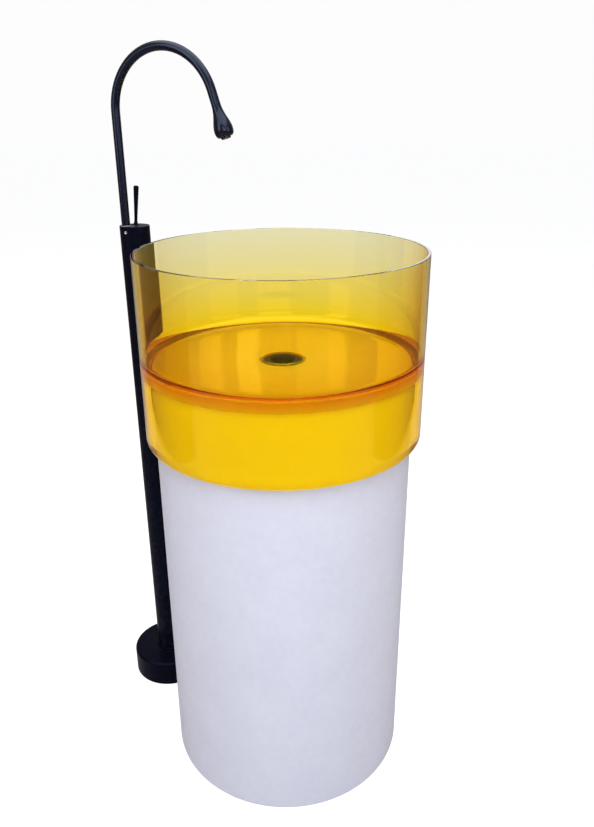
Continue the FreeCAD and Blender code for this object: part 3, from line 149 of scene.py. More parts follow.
class EffectShop:
    """Shared effects, each a shader node group that is built once."""

    FINER_BY = 6.0
    WORN_POINTINESS = (0.56, 0.66)
    WORN_PATCHES = (0.45, 0.62)
    LINE_SQUEEZE = (0.02, 0.02, 1.0)
    PULL_STRETCH = (1.0, 1.0, 0.16)
    PULL_SHARE = 0.4
    SWELL_SHARE = 0.6
    SWELL_SCALE = 7.0

    def __init__(self) -> None:
        """Starts with no groups."""
        self.made: dict[str, bpy.types.NodeTree] = {}

    def _group(self, name: str, inputs: dict[str, float], outputs: Sequence[str],
               fill: Callable[[Graph, bpy.types.Node, bpy.types.Node], None]) -> bpy.types.NodeTree:
        """Builds a group the first time that it is asked for.

        Args:
            name: The group's name.
            inputs: Its float inputs and their defaults.
            outputs: Names of its float outputs.
            fill: Builds the nodes between its input and output nodes.

        Returns:
            The group's tree.
        """
        if name not in self.made:
            tree = bpy.data.node_groups.new(name, "ShaderNodeTree")
            for label, value in inputs.items():
                socket = tree.interface.new_socket(label, in_out="INPUT", socket_type="NodeSocketFloat")
                socket.default_value = value
            for label in outputs:
                tree.interface.new_socket(label, in_out="OUTPUT", socket_type="NodeSocketFloat")
            graph = Graph(tree)
            source = tree.nodes.new("NodeGroupInput")
            target = tree.nodes.new("NodeGroupOutput")
            fill(graph, source, target)
            self.made[name] = tree
        return self.made[name]

    def grain(self) -> bpy.types.NodeTree:
        """Fine even unevenness at one scale: a value about 0.5."""
        def fill(graph: Graph, source: bpy.types.Node, target: bpy.types.Node) -> None:
            """Two noises, one six times finer."""
            coarse = graph.node("TexNoise", {"Vector": graph.place(), "Scale": source.outputs["Scale"],
                                             "Detail": 3.0, "Roughness": 0.55})
            finer_scale = graph.math("MULTIPLY", source.outputs["Scale"], self.FINER_BY)
            fine = graph.node("TexNoise", {"Vector": graph.place((0.31, 0.17, 0.05)), "Scale": finer_scale,
                                           "Detail": 1.0})
            share = graph.math("MULTIPLY", fine.outputs["Fac"], source.outputs["Fine Share"])
            total = graph.math("ADD", coarse.outputs["Fac"], share)
            level = graph.math("ADD", source.outputs["Fine Share"], 1.0)
            graph.feed(target.inputs["Value"], graph.math("DIVIDE", total, level))
        return self._group("even_grain", {"Scale": 200.0, "Fine Share": 0.3}, ["Value"], fill)

    def edge_wear(self) -> bpy.types.NodeTree:
        """Where handling has worn the edges: a mask that is 1 on bare edges."""
        def fill(graph: Graph, source: bpy.types.Node, target: bpy.types.Node) -> None:
            """Pointed places, broken up by noise."""
            pointed = graph.node("NewGeometry").outputs["Pointiness"]
            edge = graph.scaled(pointed, 0.0, 1.0, *self.WORN_POINTINESS)
            patchy = graph.node("TexNoise", {"Vector": graph.place(), "Scale": source.outputs["Patch Scale"],
                                             "Detail": 4.0})
            kept = graph.scaled(patchy.outputs["Fac"], 0.0, 1.0, *self.WORN_PATCHES)
            mask = graph.math("MULTIPLY", edge, kept)
            mask = graph.math("MULTIPLY", mask, source.outputs["Amount"], clamp=True)
            graph.feed(target.inputs["Mask"], mask)
        return self._group("edge_wear", {"Patch Scale": 90.0, "Amount": 1.0}, ["Mask"], fill)

    def specks(self) -> bpy.types.NodeTree:
        """Sparse round specks, such as dust or dried drops: a mask that is 1 inside each."""
        def fill(graph: Graph, source: bpy.types.Node, target: bpy.types.Node) -> None:
            """Small cells, most of them left empty."""
            cells = graph.node("TexVoronoi", {"Vector": graph.place(), "Scale": source.outputs["Scale"]})
            near = graph.math("LESS_THAN", cells.outputs["Distance"], source.outputs["Size"])
            pick = graph.node("SeparateColor", {"Color": cells.outputs["Color"]})
            chosen = graph.math("LESS_THAN", pick.outputs[0], source.outputs["Share"])
            graph.feed(target.inputs["Mask"], graph.math("MULTIPLY", near, chosen))
        return self._group("sparse_specks", {"Scale": 300.0, "Size": 0.2, "Share": 0.1}, ["Mask"], fill)

    def turning_lines(self) -> bpy.types.NodeTree:
        """The fine rings that a lathe or a brush leaves round an upright axis: a value about 0.5."""
        def fill(graph: Graph, source: bpy.types.Node, target: bpy.types.Node) -> None:
            """Noise squeezed along the height."""
            lines = graph.node("TexNoise", {"Vector": graph.place(scale=self.LINE_SQUEEZE),
                                            "Scale": source.outputs["Scale"], "Detail": 2.0})
            graph.feed(target.inputs["Value"], lines.outputs["Fac"])
        return self._group("turning_lines", {"Scale": 2500.0}, ["Value"], fill)

    def cast_ripple(self) -> bpy.types.NodeTree:
        """The slow ripple and slight pull marks of a polished casting: a value about 0.5."""
        def fill(graph: Graph, source: bpy.types.Node, target: bpy.types.Node) -> None:
            """Upright pulls and a slower swell."""
            pulls = graph.node("TexNoise", {"Vector": graph.place((0.4, 0.1, 0.0), self.PULL_STRETCH),
                                            "Scale": source.outputs["Scale"], "Detail": 1.0})
            swell = graph.node("TexNoise", {"Vector": graph.place((0.0, 0.3, 0.2)),
                                            "Scale": self.SWELL_SCALE, "Detail": 0.0})
            pulled = graph.math("MULTIPLY", pulls.outputs["Fac"], self.PULL_SHARE)
            swollen = graph.math("MULTIPLY", swell.outputs["Fac"], self.SWELL_SHARE)
            graph.feed(target.inputs["Value"], graph.math("ADD", pulled, swollen))
        return self._group("cast_ripple", {"Scale": 22.0}, ["Value"], fill)

    def braid(self) -> bpy.types.NodeTree:
        """Crossed strands round an upright hose: a height from 0 to 1."""
        def fill(graph: Graph, source: bpy.types.Node, target: bpy.types.Node) -> None:
            """Two opposite helices of strands."""
            place = graph.node("TexCoord").outputs["Object"]
            centre = graph.node("CombineXYZ", {"X": source.outputs["Centre X"],
                                               "Y": source.outputs["Centre Y"]}).outputs[0]
            local = graph.node("VectorMath", {0: place, 1: centre}, operation="SUBTRACT").outputs[0]
            turn = graph.node("TexGradient", {"Vector": local}, gradient_type="RADIAL").outputs["Fac"]
            height = graph.node("SeparateXYZ", {"Vector": local}).outputs["Z"]
            around = graph.math("MULTIPLY", turn, source.outputs["Strands"])
            along = graph.math("MULTIPLY", height, source.outputs["Turns Per Metre"])
            waves = []
            for operation in ("ADD", "SUBTRACT"):
                phase = graph.math("MULTIPLY", graph.math(operation, around, along), FULL_TURN)
                waves.append(graph.math("ABSOLUTE", graph.math("SINE", phase)))
            graph.feed(target.inputs["Height"], graph.math("MAXIMUM", waves[0], waves[1]))
        inputs = {"Centre X": 0.0, "Centre Y": 0.0, "Strands": 12.0, "Turns Per Metre": 330.0}
        return self._group("woven_braid", inputs, ["Height"], fill)


EFFECTS = EffectShop()


# ---- Finishes ----------------------------------------------------------------------------------
@dataclass(frozen=True)
class Finish:
    """A surface finish. Each kind builds its own material, once."""

    name: str

    def material(self) -> bpy.types.Material:
        """The finish's material, built the first time that it is asked for."""
        known = bpy.data.materials.get(self.name)
        if known is not None:
            return known
        made = bpy.data.materials.new(self.name)
        made.use_nodes = True
        made.node_tree.nodes.clear()
        graph = Graph(made.node_tree)
        shader = graph.node("BsdfPrincipled")
        output = graph.node("OutputMaterial", {"Surface": shader.outputs["BSDF"]})
        self.dress(graph, shader, output)
        return made

    def dress(self, graph: Graph, shader: bpy.types.Node, output: bpy.types.Node) -> None:
        """Sets the shader up.

        Args:
            graph: The material's graph.
            shader: Its Principled shader.
            output: Its output node.
        """
        raise NotImplementedError

    @staticmethod
    def effect(graph: Graph, tree: bpy.types.NodeTree, inputs: dict[str, float]) -> bpy.types.Node:
        """Places a shared effect with its own values and returns its node."""
        made = graph.node("Group")
        made.node_tree = tree
        for name, value in inputs.items():
            made.inputs[name].default_value = value
        return made

    @staticmethod
    def raise_surface(graph: Graph, shader: bpy.types.Node, height: Signal, distance: float) -> None:
        """Feeds a height to the shader's normal through a Bump node."""
        bump = graph.node("Bump", {"Height": height, "Distance": distance, "Strength": 1.0})
        graph.feed(shader.inputs["Normal"], bump.outputs["Normal"])


@dataclass(frozen=True)
class AmberResin(Finish):
    """Clear cast amber resin, polished. Its colour deepens with the depth of resin that light crosses, and
    painted shade and a painted glow are added in places.
    """

    density: float = 330.0
    colour: Colour = (0.9965, 0.960, 0.65, 1.0)
    pale: Colour = (1.0, 1.0, 0.98, 1.0)
    deep: Colour = (1.0, 0.83, 0.04, 1.0)
    floor_tint: Colour = (1.0, 0.93, 0.03, 1.0)
    skirt_tint: Colour = (1.0, 0.98, 0.04, 1.0)
    # painted shade: a deeper orange where the wall is seen edge on
    edge_on_shade_tint: Colour = (0.60, 0.26, 0.05, 1.0)
    # painted shade: a darker orange in the round between wall and floor
    fillet_shade_tint: Colour = (0.82, 0.66, 0.03, 1.0)
    # painted shade: the resin in the waste's recess is darkened
    recess_shade_tint: Colour = (0.22, 0.19, 0.01, 1.0)
    pale_height: float = 0.895
    deep_height: float = 0.745
    seam_height: float = 0.741
    skirt_height: float = 0.7205
    recess_top: float = 0.7315
    recess_radius: float = 0.0336
    floor_radius: float = 0.195
    wall_radius: float = 0.217
    fillet_top: float = 0.757
    ring_low: float = 0.7345
    seam_blend: float = 1 * MM
    fillet_rise: float = 2 * MM
    fillet_fall: float = 10 * MM
    skirt_blend: float = 4 * MM
    floor_blend: float = 2 * MM
    edge_rise: float = 20 * MM
    edge_power: float = 2.0
    cloud_amount: float = 0.12
    polish: tuple[float, float] = (0.004, 0.035)
    floor_haze: float = 0.05
    ior: float = 1.5
    shine_tint: Colour = (1.0, 0.78, 0.20, 1.0)
    # painted glow: emission in the skirt and in the ring round the floor, which are no lamp
    glow: Colour = (1.0, 0.62, 0.0, 1.0)
    glow_strength: float = 0.04
    ring_glow: float = 3.0
    ripple_depth: float = 0.3 * MM

    def dress(self, graph: Graph, shader: bpy.types.Node, output: bpy.types.Node) -> None:
        """Builds clear resin, paler towards the rim, with faint ripple, wipe marks and absorption, painted
        shade in the fillet, the recess and on edge-on walls, and a painted glow in the skirt and the floor's
        ring.
        """
        shader.inputs["Transmission Weight"].default_value = 1.0
        shader.inputs["IOR"].default_value = self.ior
        shader.inputs["Specular Tint"].default_value = self.shine_tint
        shader.inputs["Emission Strength"].default_value = self.glow_strength
        grain = self.effect(graph, EFFECTS.grain(), {"Scale": 26.0, "Fine Share": 0.5}).outputs["Value"]
        place = graph.node("SeparateXYZ", {"Vector": graph.place()}).outputs
        flat = graph.node("CombineXYZ", {"X": place["X"], "Y": place["Y"]}).outputs[0]
        radius = graph.node("VectorMath", {0: flat}, operation="LENGTH").outputs["Value"]
        height = place["Z"]
        low = graph.scaled(height, 1.0, 0.0, self.seam_height - self.seam_blend, self.seam_height)
        below = graph.scaled(height, 1.0, 0.0, self.skirt_height - self.skirt_blend, self.skirt_height)
        floor = graph.scaled(radius, 1.0, 0.0, self.floor_radius, self.floor_radius + self.floor_blend)
        inner = graph.math("LESS_THAN", radius, self.wall_radius)
        outside = graph.math("GREATER_THAN", radius, self.wall_radius)

        cloud = graph.math("MULTIPLY", graph.math("SUBTRACT", grain, 0.5), self.cloud_amount)
        share = graph.scaled(height, 0.0, 1.0, self.deep_height, self.pale_height)
        body = graph.blend(graph.math("ADD", share, cloud, True), self.deep, self.pale)
        cast = graph.math("MULTIPLY", low, graph.math("MAXIMUM", floor, outside))
        body = graph.blend(cast, body, self.floor_tint)
        body = graph.blend(below, body, self.skirt_tint)
        # painted shade: the round between wall and floor is darkened
        body = graph.blend(self.fillet_shade_mask(graph, height, inner), body, self.fillet_shade_tint)
        # painted shade: the resin in the waste's recess is darkened
        body = graph.blend(self.recess_shade_mask(graph, height, radius), body, self.recess_shade_tint)
        # painted shade: the wall is darkened where it is seen edge on
        body = graph.blend(self.edge_on_shade_mask(graph, height), body, self.edge_on_shade_tint)
        graph.feed(shader.inputs["Base Color"], body)

        polish = graph.scaled(grain, *self.polish, 0.35, 0.7)
        haze = graph.math("MULTIPLY", floor, self.floor_haze)
        graph.feed(shader.inputs["Roughness"], graph.math("ADD", polish, haze))
        # Painted glow: the skirt, and the ring between the floor and the wall, give off light.
        ring = graph.math("GREATER_THAN", radius, self.floor_radius + self.floor_blend)
        ring = graph.math("MULTIPLY", inner, ring)
        ring = graph.math("MULTIPLY", ring, graph.math("MULTIPLY", low, self.ring_glow))
        ring = graph.math("MULTIPLY", ring, graph.math("GREATER_THAN", height, self.ring_low))
        painted_glow_share = graph.math("MAXIMUM", below, ring)
        graph.feed(shader.inputs["Emission Color"], graph.blend(painted_glow_share, (0.0, 0.0, 0.0, 1.0), self.glow))
        ripple = self.effect(graph, EFFECTS.cast_ripple(), {"Scale": 22.0})
        self.raise_surface(graph, shader, ripple.outputs["Value"], self.ripple_depth)
        volume = graph.node("VolumeAbsorption", {"Color": self.colour, "Density": self.density})
        graph.feed(output.inputs["Volume"], volume.outputs["Volume"])

    def fillet_shade_mask(self, graph: Graph, height: Signal, inner: Signal) -> bpy.types.NodeSocket:
        """The round between wall and floor, darkened with painted shade: 1 just above the seam, inside the
        bowl.
        """
        rise = graph.scaled(height, 0.0, 1.0, self.seam_height, self.seam_height + self.fillet_rise)
        fall = graph.scaled(height, 1.0, 0.0, self.fillet_top - self.fillet_fall, self.fillet_top)
        return graph.math("MULTIPLY", graph.math("MULTIPLY", rise, fall), inner)

    def recess_shade_mask(self, graph: Graph, height: Signal, radius: Signal) -> bpy.types.NodeSocket:
        """The recess for the waste, darkened with painted shade: 1 inside it."""
        inside = graph.math("LESS_THAN", radius, self.recess_radius)
        return graph.math("MULTIPLY", inside, graph.math("LESS_THAN", height, self.recess_top))

    def edge_on_shade_mask(self, graph: Graph, height: Signal) -> bpy.types.NodeSocket:
        """Painted shade on the wall where it is seen edge on: towards 1 above the seam."""
        facing = graph.node("LayerWeight", {"Blend": 0.5}).outputs["Facing"]
        upper = graph.scaled(height, 0.0, 1.0, self.seam_height, self.seam_height + self.edge_rise)
        return graph.math("MULTIPLY", graph.math("POWER", facing, self.edge_power), upper)


@dataclass(frozen=True)
class SolidSurface(Finish):
    """White mineral-filled cast resin with a satin, sanded surface, and painted light: it is whiter where the
    bowl hides it, so that the resin over it glows.
    """

    light: Colour = (0.66, 0.67, 0.78, 1.0)
    dark: Colour = (0.62, 0.63, 0.745, 1.0)
    # painted light: the band that the bowl hides is whiter, so the resin over it glows
    bright: Colour = (0.94, 0.94, 0.93, 1.0)
    painted_light_height: float = 0.608
    speck: Colour = (0.50, 0.51, 0.58, 1.0)
    speck_amount: float = 0.18
    shine: float = 0.35

    def dress(self, graph: Graph, shader: bpy.types.Node, output: bpy.types.Node) -> None:
        """Builds a faintly mottled satin white, with a painted brighter band where the bowl hides it."""
        mottle = self.effect(graph, EFFECTS.grain(), {"Scale": 14.0, "Fine Share": 0.6})
        specks = self.effect(graph, EFFECTS.specks(), {"Scale": 420.0, "Size": 0.16, "Share": 0.04})
        body = graph.blend(graph.scaled(mottle.outputs["Value"], 0.0, 1.0, 0.35, 0.65), self.light, self.dark)
        shade = graph.math("MULTIPLY", specks.outputs["Mask"], self.speck_amount)
        spotted = graph.blend(shade, body, self.speck)
        height = graph.node("SeparateXYZ", {"Vector": graph.place()}).outputs["Z"]
        # painted light: whiter above this height, behind the skirt
        painted_light_band = graph.math("GREATER_THAN", height, self.painted_light_height)
        graph.feed(shader.inputs["Base Color"], graph.blend(painted_light_band, spotted, self.bright))
        graph.feed(shader.inputs["Roughness"], graph.scaled(mottle.outputs["Value"], 0.38, 0.52, 0.3, 0.7))
        sanding = self.effect(graph, EFFECTS.grain(), {"Scale": 900.0, "Fine Share": 0.5})
        self.raise_surface(graph, shader, sanding.outputs["Value"], 0.03 * MM)
        shader.inputs["Specular IOR Level"].default_value = self.shine


@dataclass(frozen=True)
class SatinBlack(Finish):
    """Satin black coating on metal, with a blue-black sheen."""

    colour: Colour = (0.0020, 0.0022, 0.0075, 1.0)
    bare: Colour = (0.035, 0.036, 0.048, 1.0)
    smooth: float = 0.29
    rough: float = 0.35
    wear: float = 0.5
    shine: float = 0.07
    shine_tint: Colour = (0.55, 0.70, 1.0, 1.0)
    dust: Colour = (0.10, 0.10, 0.12, 1.0)
    dust_amount: float = 0.05

    def dress(self, graph: Graph, shader: bpy.types.Node, output: bpy.types.Node) -> None:
        """Builds a coat with orange peel, dust and slightly worn edges."""
        peel = self.effect(graph, EFFECTS.grain(), {"Scale": 520.0, "Fine Share": 0.25})
        clouds = self.effect(graph, EFFECTS.grain(), {"Scale": 18.0, "Fine Share": 0.4})
        worn = self.effect(graph, EFFECTS.edge_wear(), {"Patch Scale": 120.0, "Amount": self.wear})
        dust = self.effect(graph, EFFECTS.specks(), {"Scale": 700.0, "Size": 0.10, "Share": 0.03})
        body = graph.blend(worn.outputs["Mask"], self.colour, self.bare)
        pale = graph.math("MULTIPLY", dust.outputs["Mask"], self.dust_amount)
        graph.feed(shader.inputs["Base Color"], graph.blend(pale, body, self.dust))
        roughness = graph.scaled(clouds.outputs["Value"], self.smooth, self.rough, 0.35, 0.65)
        graph.feed(shader.inputs["Roughness"], roughness)
        shader.inputs["Specular IOR Level"].default_value = self.shine
        shader.inputs["Specular Tint"].default_value = self.shine_tint
        self.raise_surface(graph, shader, peel.outputs["Value"], 0.004 * MM)


@dataclass(frozen=True)
class BareMetal(Finish):
    """A bare or plated metal with turning lines."""

    colour: Colour = (0.72, 0.53, 0.24, 1.0)
    tarnish: Colour = (0.48, 0.33, 0.14, 1.0)
    smooth: float = 0.18
    rough: float = 0.42

    def dress(self, graph: Graph, shader: bpy.types.Node, output: bpy.types.Node) -> None:
        """Builds turned metal with tarnish in patches."""
        patches = self.effect(graph, EFFECTS.grain(), {"Scale": 60.0, "Fine Share": 0.5})
        lines = self.effect(graph, EFFECTS.turning_lines(), {"Scale": 2500.0})
        share = graph.scaled(patches.outputs["Value"], 0.0, 0.8, 0.4, 0.7)
        graph.feed(shader.inputs["Base Color"], graph.blend(share, self.colour, self.tarnish))
        roughness = graph.scaled(lines.outputs["Value"], self.smooth, self.rough, 0.3, 0.7)
        graph.feed(shader.inputs["Roughness"], roughness)
        shader.inputs["Metallic"].default_value = 1.0
        self.raise_surface(graph, shader, lines.outputs["Value"], 0.02 * MM)


@dataclass(frozen=True)
class Moulded(Finish):
    """Moulded plastic, rubber or silicone with a fine matt grain."""

    colour: Colour = (0.78, 0.78, 0.75, 1.0)
    shade: Colour = (0.66, 0.66, 0.62, 1.0)
    smooth: float = 0.35
    rough: float = 0.60
    grain_depth: float = 0.03 * MM
    dust: Colour = (0.55, 0.54, 0.50, 1.0)
    dust_amount: float = 0.25

    def dress(self, graph: Graph, shader: bpy.types.Node, output: bpy.types.Node) -> None:
        """Builds a moulded surface with flow marks and dust."""
        flow = self.effect(graph, EFFECTS.grain(), {"Scale": 35.0, "Fine Share": 0.5})
        grain = self.effect(graph, EFFECTS.grain(), {"Scale": 1100.0, "Fine Share": 0.4})
        dust = self.effect(graph, EFFECTS.specks(), {"Scale": 600.0, "Size": 0.12, "Share": 0.05})
        body = graph.blend(graph.scaled(flow.outputs["Value"], 0.0, 1.0, 0.35, 0.65), self.colour, self.shade)
        pale = graph.math("MULTIPLY", dust.outputs["Mask"], self.dust_amount)
        graph.feed(shader.inputs["Base Color"], graph.blend(pale, body, self.dust))
        roughness = graph.scaled(flow.outputs["Value"], self.smooth, self.rough, 0.3, 0.7)
        graph.feed(shader.inputs["Roughness"], roughness)
        self.raise_surface(graph, shader, grain.outputs["Value"], self.grain_depth)


@dataclass(frozen=True)
class SteelBraid(Finish):
    """Woven steel braid round an upright hose."""

    centre: tuple[float, float] = (0.0, 0.0)
    gap: Colour = (0.05, 0.05, 0.055, 1.0)
    strand: Colour = (0.66, 0.67, 0.69, 1.0)
    strand_height: float = 0.3 * MM

    def dress(self, graph: Graph, shader: bpy.types.Node, output: bpy.types.Node) -> None:
        """Builds bright strands over dark gaps."""
        weave = self.effect(graph, EFFECTS.braid(), {"Centre X": self.centre[0], "Centre Y": self.centre[1]})
        height = weave.outputs["Height"]
        share = graph.scaled(height, 0.0, 1.0, 0.55, 0.85)
        graph.feed(shader.inputs["Base Color"], graph.blend(share, self.gap, self.strand))
        graph.feed(shader.inputs["Roughness"], graph.scaled(height, 0.6, 0.28))
        shader.inputs["Metallic"].default_value = 0.9
        self.raise_surface(graph, shader, height, self.strand_height)


@dataclass(frozen=True)
class StudioFloor(Finish):
    """Plain pale studio floor. It looks brighter than the light that it throws back at the object."""

    seen: float = 0.82
    seen_through_resin: float = 0.62
    dark: Colour = (0.34, 0.34, 0.35, 1.0)
    light: Colour = (0.36, 0.36, 0.37, 1.0)

    def dress(self, graph: Graph, shader: bpy.types.Node, output: bpy.types.Node) -> None:
        """Builds an even pale floor with a little unevenness."""
        mottle = self.effect(graph, EFFECTS.grain(), {"Scale": 3.0, "Fine Share": 0.3})
        tone = graph.blend(mottle.outputs["Value"], self.dark, self.light)
        graph.feed(shader.inputs["Base Color"], tone)
        shader.inputs["Roughness"].default_value = 0.85
        shader.inputs["Specular IOR Level"].default_value = 0.1
        shader.inputs["Emission Color"].default_value = (1.0, 1.0, 1.0, 1.0)
        path = graph.node("LightPath").outputs
        direct = graph.math("MULTIPLY", path["Is Camera Ray"], self.seen)
        through = graph.math("MULTIPLY", path["Is Transmission Ray"], self.seen_through_resin)
        graph.feed(shader.inputs["Emission Strength"], graph.math("MAXIMUM", direct, through))


@dataclass(frozen=True)
class StudioCloth(Finish):
    """Dark warm cloth of the side flags, which give clear resin its dark edges."""

    dark: Colour = (0.26, 0.15, 0.09, 1.0)
    light: Colour = (0.32, 0.20, 0.12, 1.0)

    def dress(self, graph: Graph, shader: bpy.types.Node, output: bpy.types.Node) -> None:
        """Builds an even matt cloth."""
        mottle = self.effect(graph, EFFECTS.grain(), {"Scale": 4.0, "Fine Share": 0.3})
        tone = graph.blend(mottle.outputs["Value"], self.dark, self.light)
        graph.feed(shader.inputs["Base Color"], tone)
        shader.inputs["Roughness"].default_value = 0.9


RESIN = AmberResin("clear_amber_resin")
SOLID_SURFACE = SolidSurface("white_solid_surface_satin")
BLACK = SatinBlack("satin_black_coat")
GLOSSY_BLACK = SatinBlack("polished_black_coat", (0.003, 0.0035, 0.010, 1.0), smooth=0.18, rough=0.23,
                          shine=0.34)
BLACK_WASTE = SatinBlack("waste_black_coat", smooth=0.3, rough=0.5)
SCREW_STEEL = BareMetal("bright_screw_steel", (0.78, 0.79, 0.82, 1.0), (0.62, 0.63, 0.66, 1.0), 0.12, 0.25)
ZINC = BareMetal("zinc_plate", (0.60, 0.61, 0.64, 1.0), (0.42, 0.44, 0.46, 1.0), 0.30, 0.50)
CRIMP = BareMetal("pressed_steel", (0.66, 0.67, 0.69, 1.0), (0.50, 0.51, 0.53, 1.0), 0.22, 0.36)
BRASS = BareMetal("machined_brass")
SILICONE = Moulded("white_silicone_bed", (0.94, 0.94, 0.94, 1.0), (0.90, 0.90, 0.90, 1.0), 0.45, 0.60)
RUBBER = Moulded("black_rubber_matt", (0.016, 0.016, 0.017, 1.0), (0.028, 0.028, 0.028, 1.0), 0.55, 0.75)
WHITE_PLASTIC = Moulded("white_waste_plastic")
GREY_PLASTIC = Moulded("grey_cartridge_plastic", (0.32, 0.33, 0.35, 1.0), (0.25, 0.26, 0.28, 1.0), 0.30, 0.50)
CERAMIC = Moulded("lapped_ceramic", (0.82, 0.81, 0.77, 1.0), (0.76, 0.75, 0.70, 1.0), 0.08, 0.18, 0.004 * MM)


# ---- Mesh helpers ------------------------------------------------------------------------------
class Outline:
    """Points of an outline in radius and height, to be spun round an upright axis."""

    def __init__(self, radius: float, height: float) -> None:
        """Starts the outline at a point."""
        self.points: list[tuple[float, float]] = [(radius, height)]

    def to(self, radius: float, height: float) -> "Outline":
        """Adds a straight edge to a point."""
        self.points.append((radius, height))
        return self

    def round(self, centre: tuple[float, float], radius: float, height: float, steps: int = 6) -> "Outline":
        """Adds an arc about a centre, the short way, to a point.

        Args:
            centre: The arc's centre in radius and height.
            radius: Radius of the arc's end.
            height: Height of the arc's end.
            steps: How many edges the arc has.

        Returns:
            The outline.
        """
        first = Vector(self.points[-1]) - Vector(centre)
        last = Vector((radius, height)) - Vector(centre)
        start = math.atan2(first.y, first.x)
        sweep = math.atan2(last.y, last.x) - start
        sweep = (sweep + math.pi) % FULL_TURN - math.pi
        for step in range(1, steps):
            angle = start + sweep * step / steps
            size = first.length + (last.length - first.length) * step / steps
            self.points.append((centre[0] + size * math.cos(angle), centre[1] + size * math.sin(angle)))
        return self.to(radius, height)

    def along(self, shape: Callable[[float], tuple[float, float]], steps: int) -> "Outline":
        """Adds points of a formula that runs from 0 to 1."""
        for step in range(1, steps + 1):
            self.points.append(shape(step / steps))
        return self

    def spun(self, turns: int, closed: bool = True) -> bmesh.types.BMesh:
        """Spins the outline into a closed skin.

        Args:
            turns: How many steps go once round.
            closed: Whether the last point is joined back to the first. An outline that starts and
                ends on the axis stays open.

        Returns:
            A bmesh about the Z axis.
        """
        mesh = bmesh.new()
        ring = [mesh.verts.new((radius, 0.0, height)) for radius, height in self.points]
        pairs = list(zip(ring, ring[1:])) + ([(ring[-1], ring[0])] if closed else [])
        edges = [mesh.edges.new(pair) for pair in pairs]
        bmesh.ops.spin(mesh, geom=ring + edges, cent=(0, 0, 0), axis=UP, dvec=(0, 0, 0),
                       angle=FULL_TURN, steps=turns, use_merge=True, use_duplicate=False)
        return mesh


def move(mesh: bmesh.types.BMesh, matrix: Matrix) -> bmesh.types.BMesh:
    """Moves every vertex by a matrix."""
    bmesh.ops.transform(mesh, matrix=matrix, verts=mesh.verts)
    return mesh


def turned_to(direction: Vector, place: Vector) -> Matrix:
    """A matrix that takes +Z to a direction and the origin to a place."""
    return Matrix.Translation(place) @ UP.rotation_difference(direction).to_matrix().to_4x4()


def rod(radius: float, length: float, place: Vector, direction: Vector = UP, sides: int = 48,
        bevel: float = 0.0) -> bmesh.types.BMesh:
    """A round bar that starts at a place and runs along a direction, with eased ends."""
    mesh = bmesh.new()
    bmesh.ops.create_cone(mesh, cap_ends=True, segments=sides, radius1=radius, radius2=radius, depth=length)
    if bevel > 0.0:
        rims = [edge for edge in mesh.edges if abs(edge.verts[0].co.z - edge.verts[1].co.z) < MERGE_DISTANCE]
        bmesh.ops.bevel(mesh, geom=rims, offset=bevel, affect="EDGES", segments=3, profile=0.5, material=-1)
    move(mesh, Matrix.Translation((0, 0, length / 2)))
    return move(mesh, turned_to(direction, place))


def hexagon(flats: float, length: float, place: Vector, direction: Vector = UP) -> bmesh.types.BMesh:
    """A six-sided bar that starts at a place and runs along a direction."""
    return rod(flats / 2 / math.cos(math.pi / 6), length, place, direction, sides=6)


def joined(parts: Iterable[bmesh.types.BMesh]) -> bmesh.types.BMesh:
    """Puts several meshes into one and frees them."""
    whole = bmesh.new()
    for part in parts:
        scratch = bpy.data.meshes.new("scratch")
        part.to_mesh(scratch)
        part.free()
        whole.from_mesh(scratch)
        bpy.data.meshes.remove(scratch)
    return whole


def carved(mesh: bmesh.types.BMesh, cutters: Iterable[bmesh.types.BMesh]) -> bmesh.types.BMesh:
    """Cuts closed shapes out of a closed mesh.

    Args:
        mesh: The mesh to cut, which is freed.
        cutters: The shapes to take away, which are freed.

    Returns:
        The cut mesh.
    """
    objects = []
    for index, part in enumerate([mesh, *cutters]):
        bmesh.ops.remove_doubles(part, verts=part.verts, dist=MERGE_DISTANCE)
        bmesh.ops.recalc_face_normals(part, faces=part.faces)
        data = bpy.data.meshes.new(f"carving_{index}")
        part.to_mesh(data)
        part.free()
        thing = bpy.data.objects.new(data.name, data)
        bpy.context.scene.collection.objects.link(thing)
        objects.append(thing)
    for cutter in objects[1:]:
        cut = objects[0].modifiers.new("cut", "BOOLEAN")
        cut.operation = "DIFFERENCE"
        cut.solver = "EXACT"
        cut.object = cutter
    bpy.context.view_layer.update()
    seen = objects[0].evaluated_get(bpy.context.evaluated_depsgraph_get())
    result = bmesh.new()
    result.from_mesh(seen.to_mesh())
    seen.to_mesh_clear()
    for thing in objects:
        data = thing.data
        bpy.data.objects.remove(thing)
        bpy.data.meshes.remove(data)
    return result


def piece(name: str, mesh: bmesh.types.BMesh, body: Body, finish: Finish,
          stands_for: Sequence[str]) -> None:
    """Makes a finished piece of the object from a mesh in place.

    Args:
        name: The piece's name.
        mesh: Its mesh, in the row frame, which is freed.
        body: The body that it rides on.
        finish: Its finish.
        stands_for: CAD nodes that it is shown in place of.
    """
    bmesh.ops.remove_doubles(mesh, verts=mesh.verts, dist=MERGE_DISTANCE)
    bmesh.ops.recalc_face_normals(mesh, faces=mesh.faces)
    data = bpy.data.meshes.new(name)
    mesh.to_mesh(data)
    mesh.free()
    data.shade_smooth()
    data.set_sharp_from_angle(angle=SHARP_ANGLE)
    data.materials.append(finish.material())
    made = bpy.data.objects.new(name, data)
    bpy.context.scene.collection.objects.link(made)
    flat = made.modifiers.new("flat_faces_stay_flat", "WEIGHTED_NORMAL")
    flat.keep_sharp = True
    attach(made, body.value)
    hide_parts(*stands_for)
    LOG.info("%s: %d faces on %s", name, len(data.polygons), body.value)


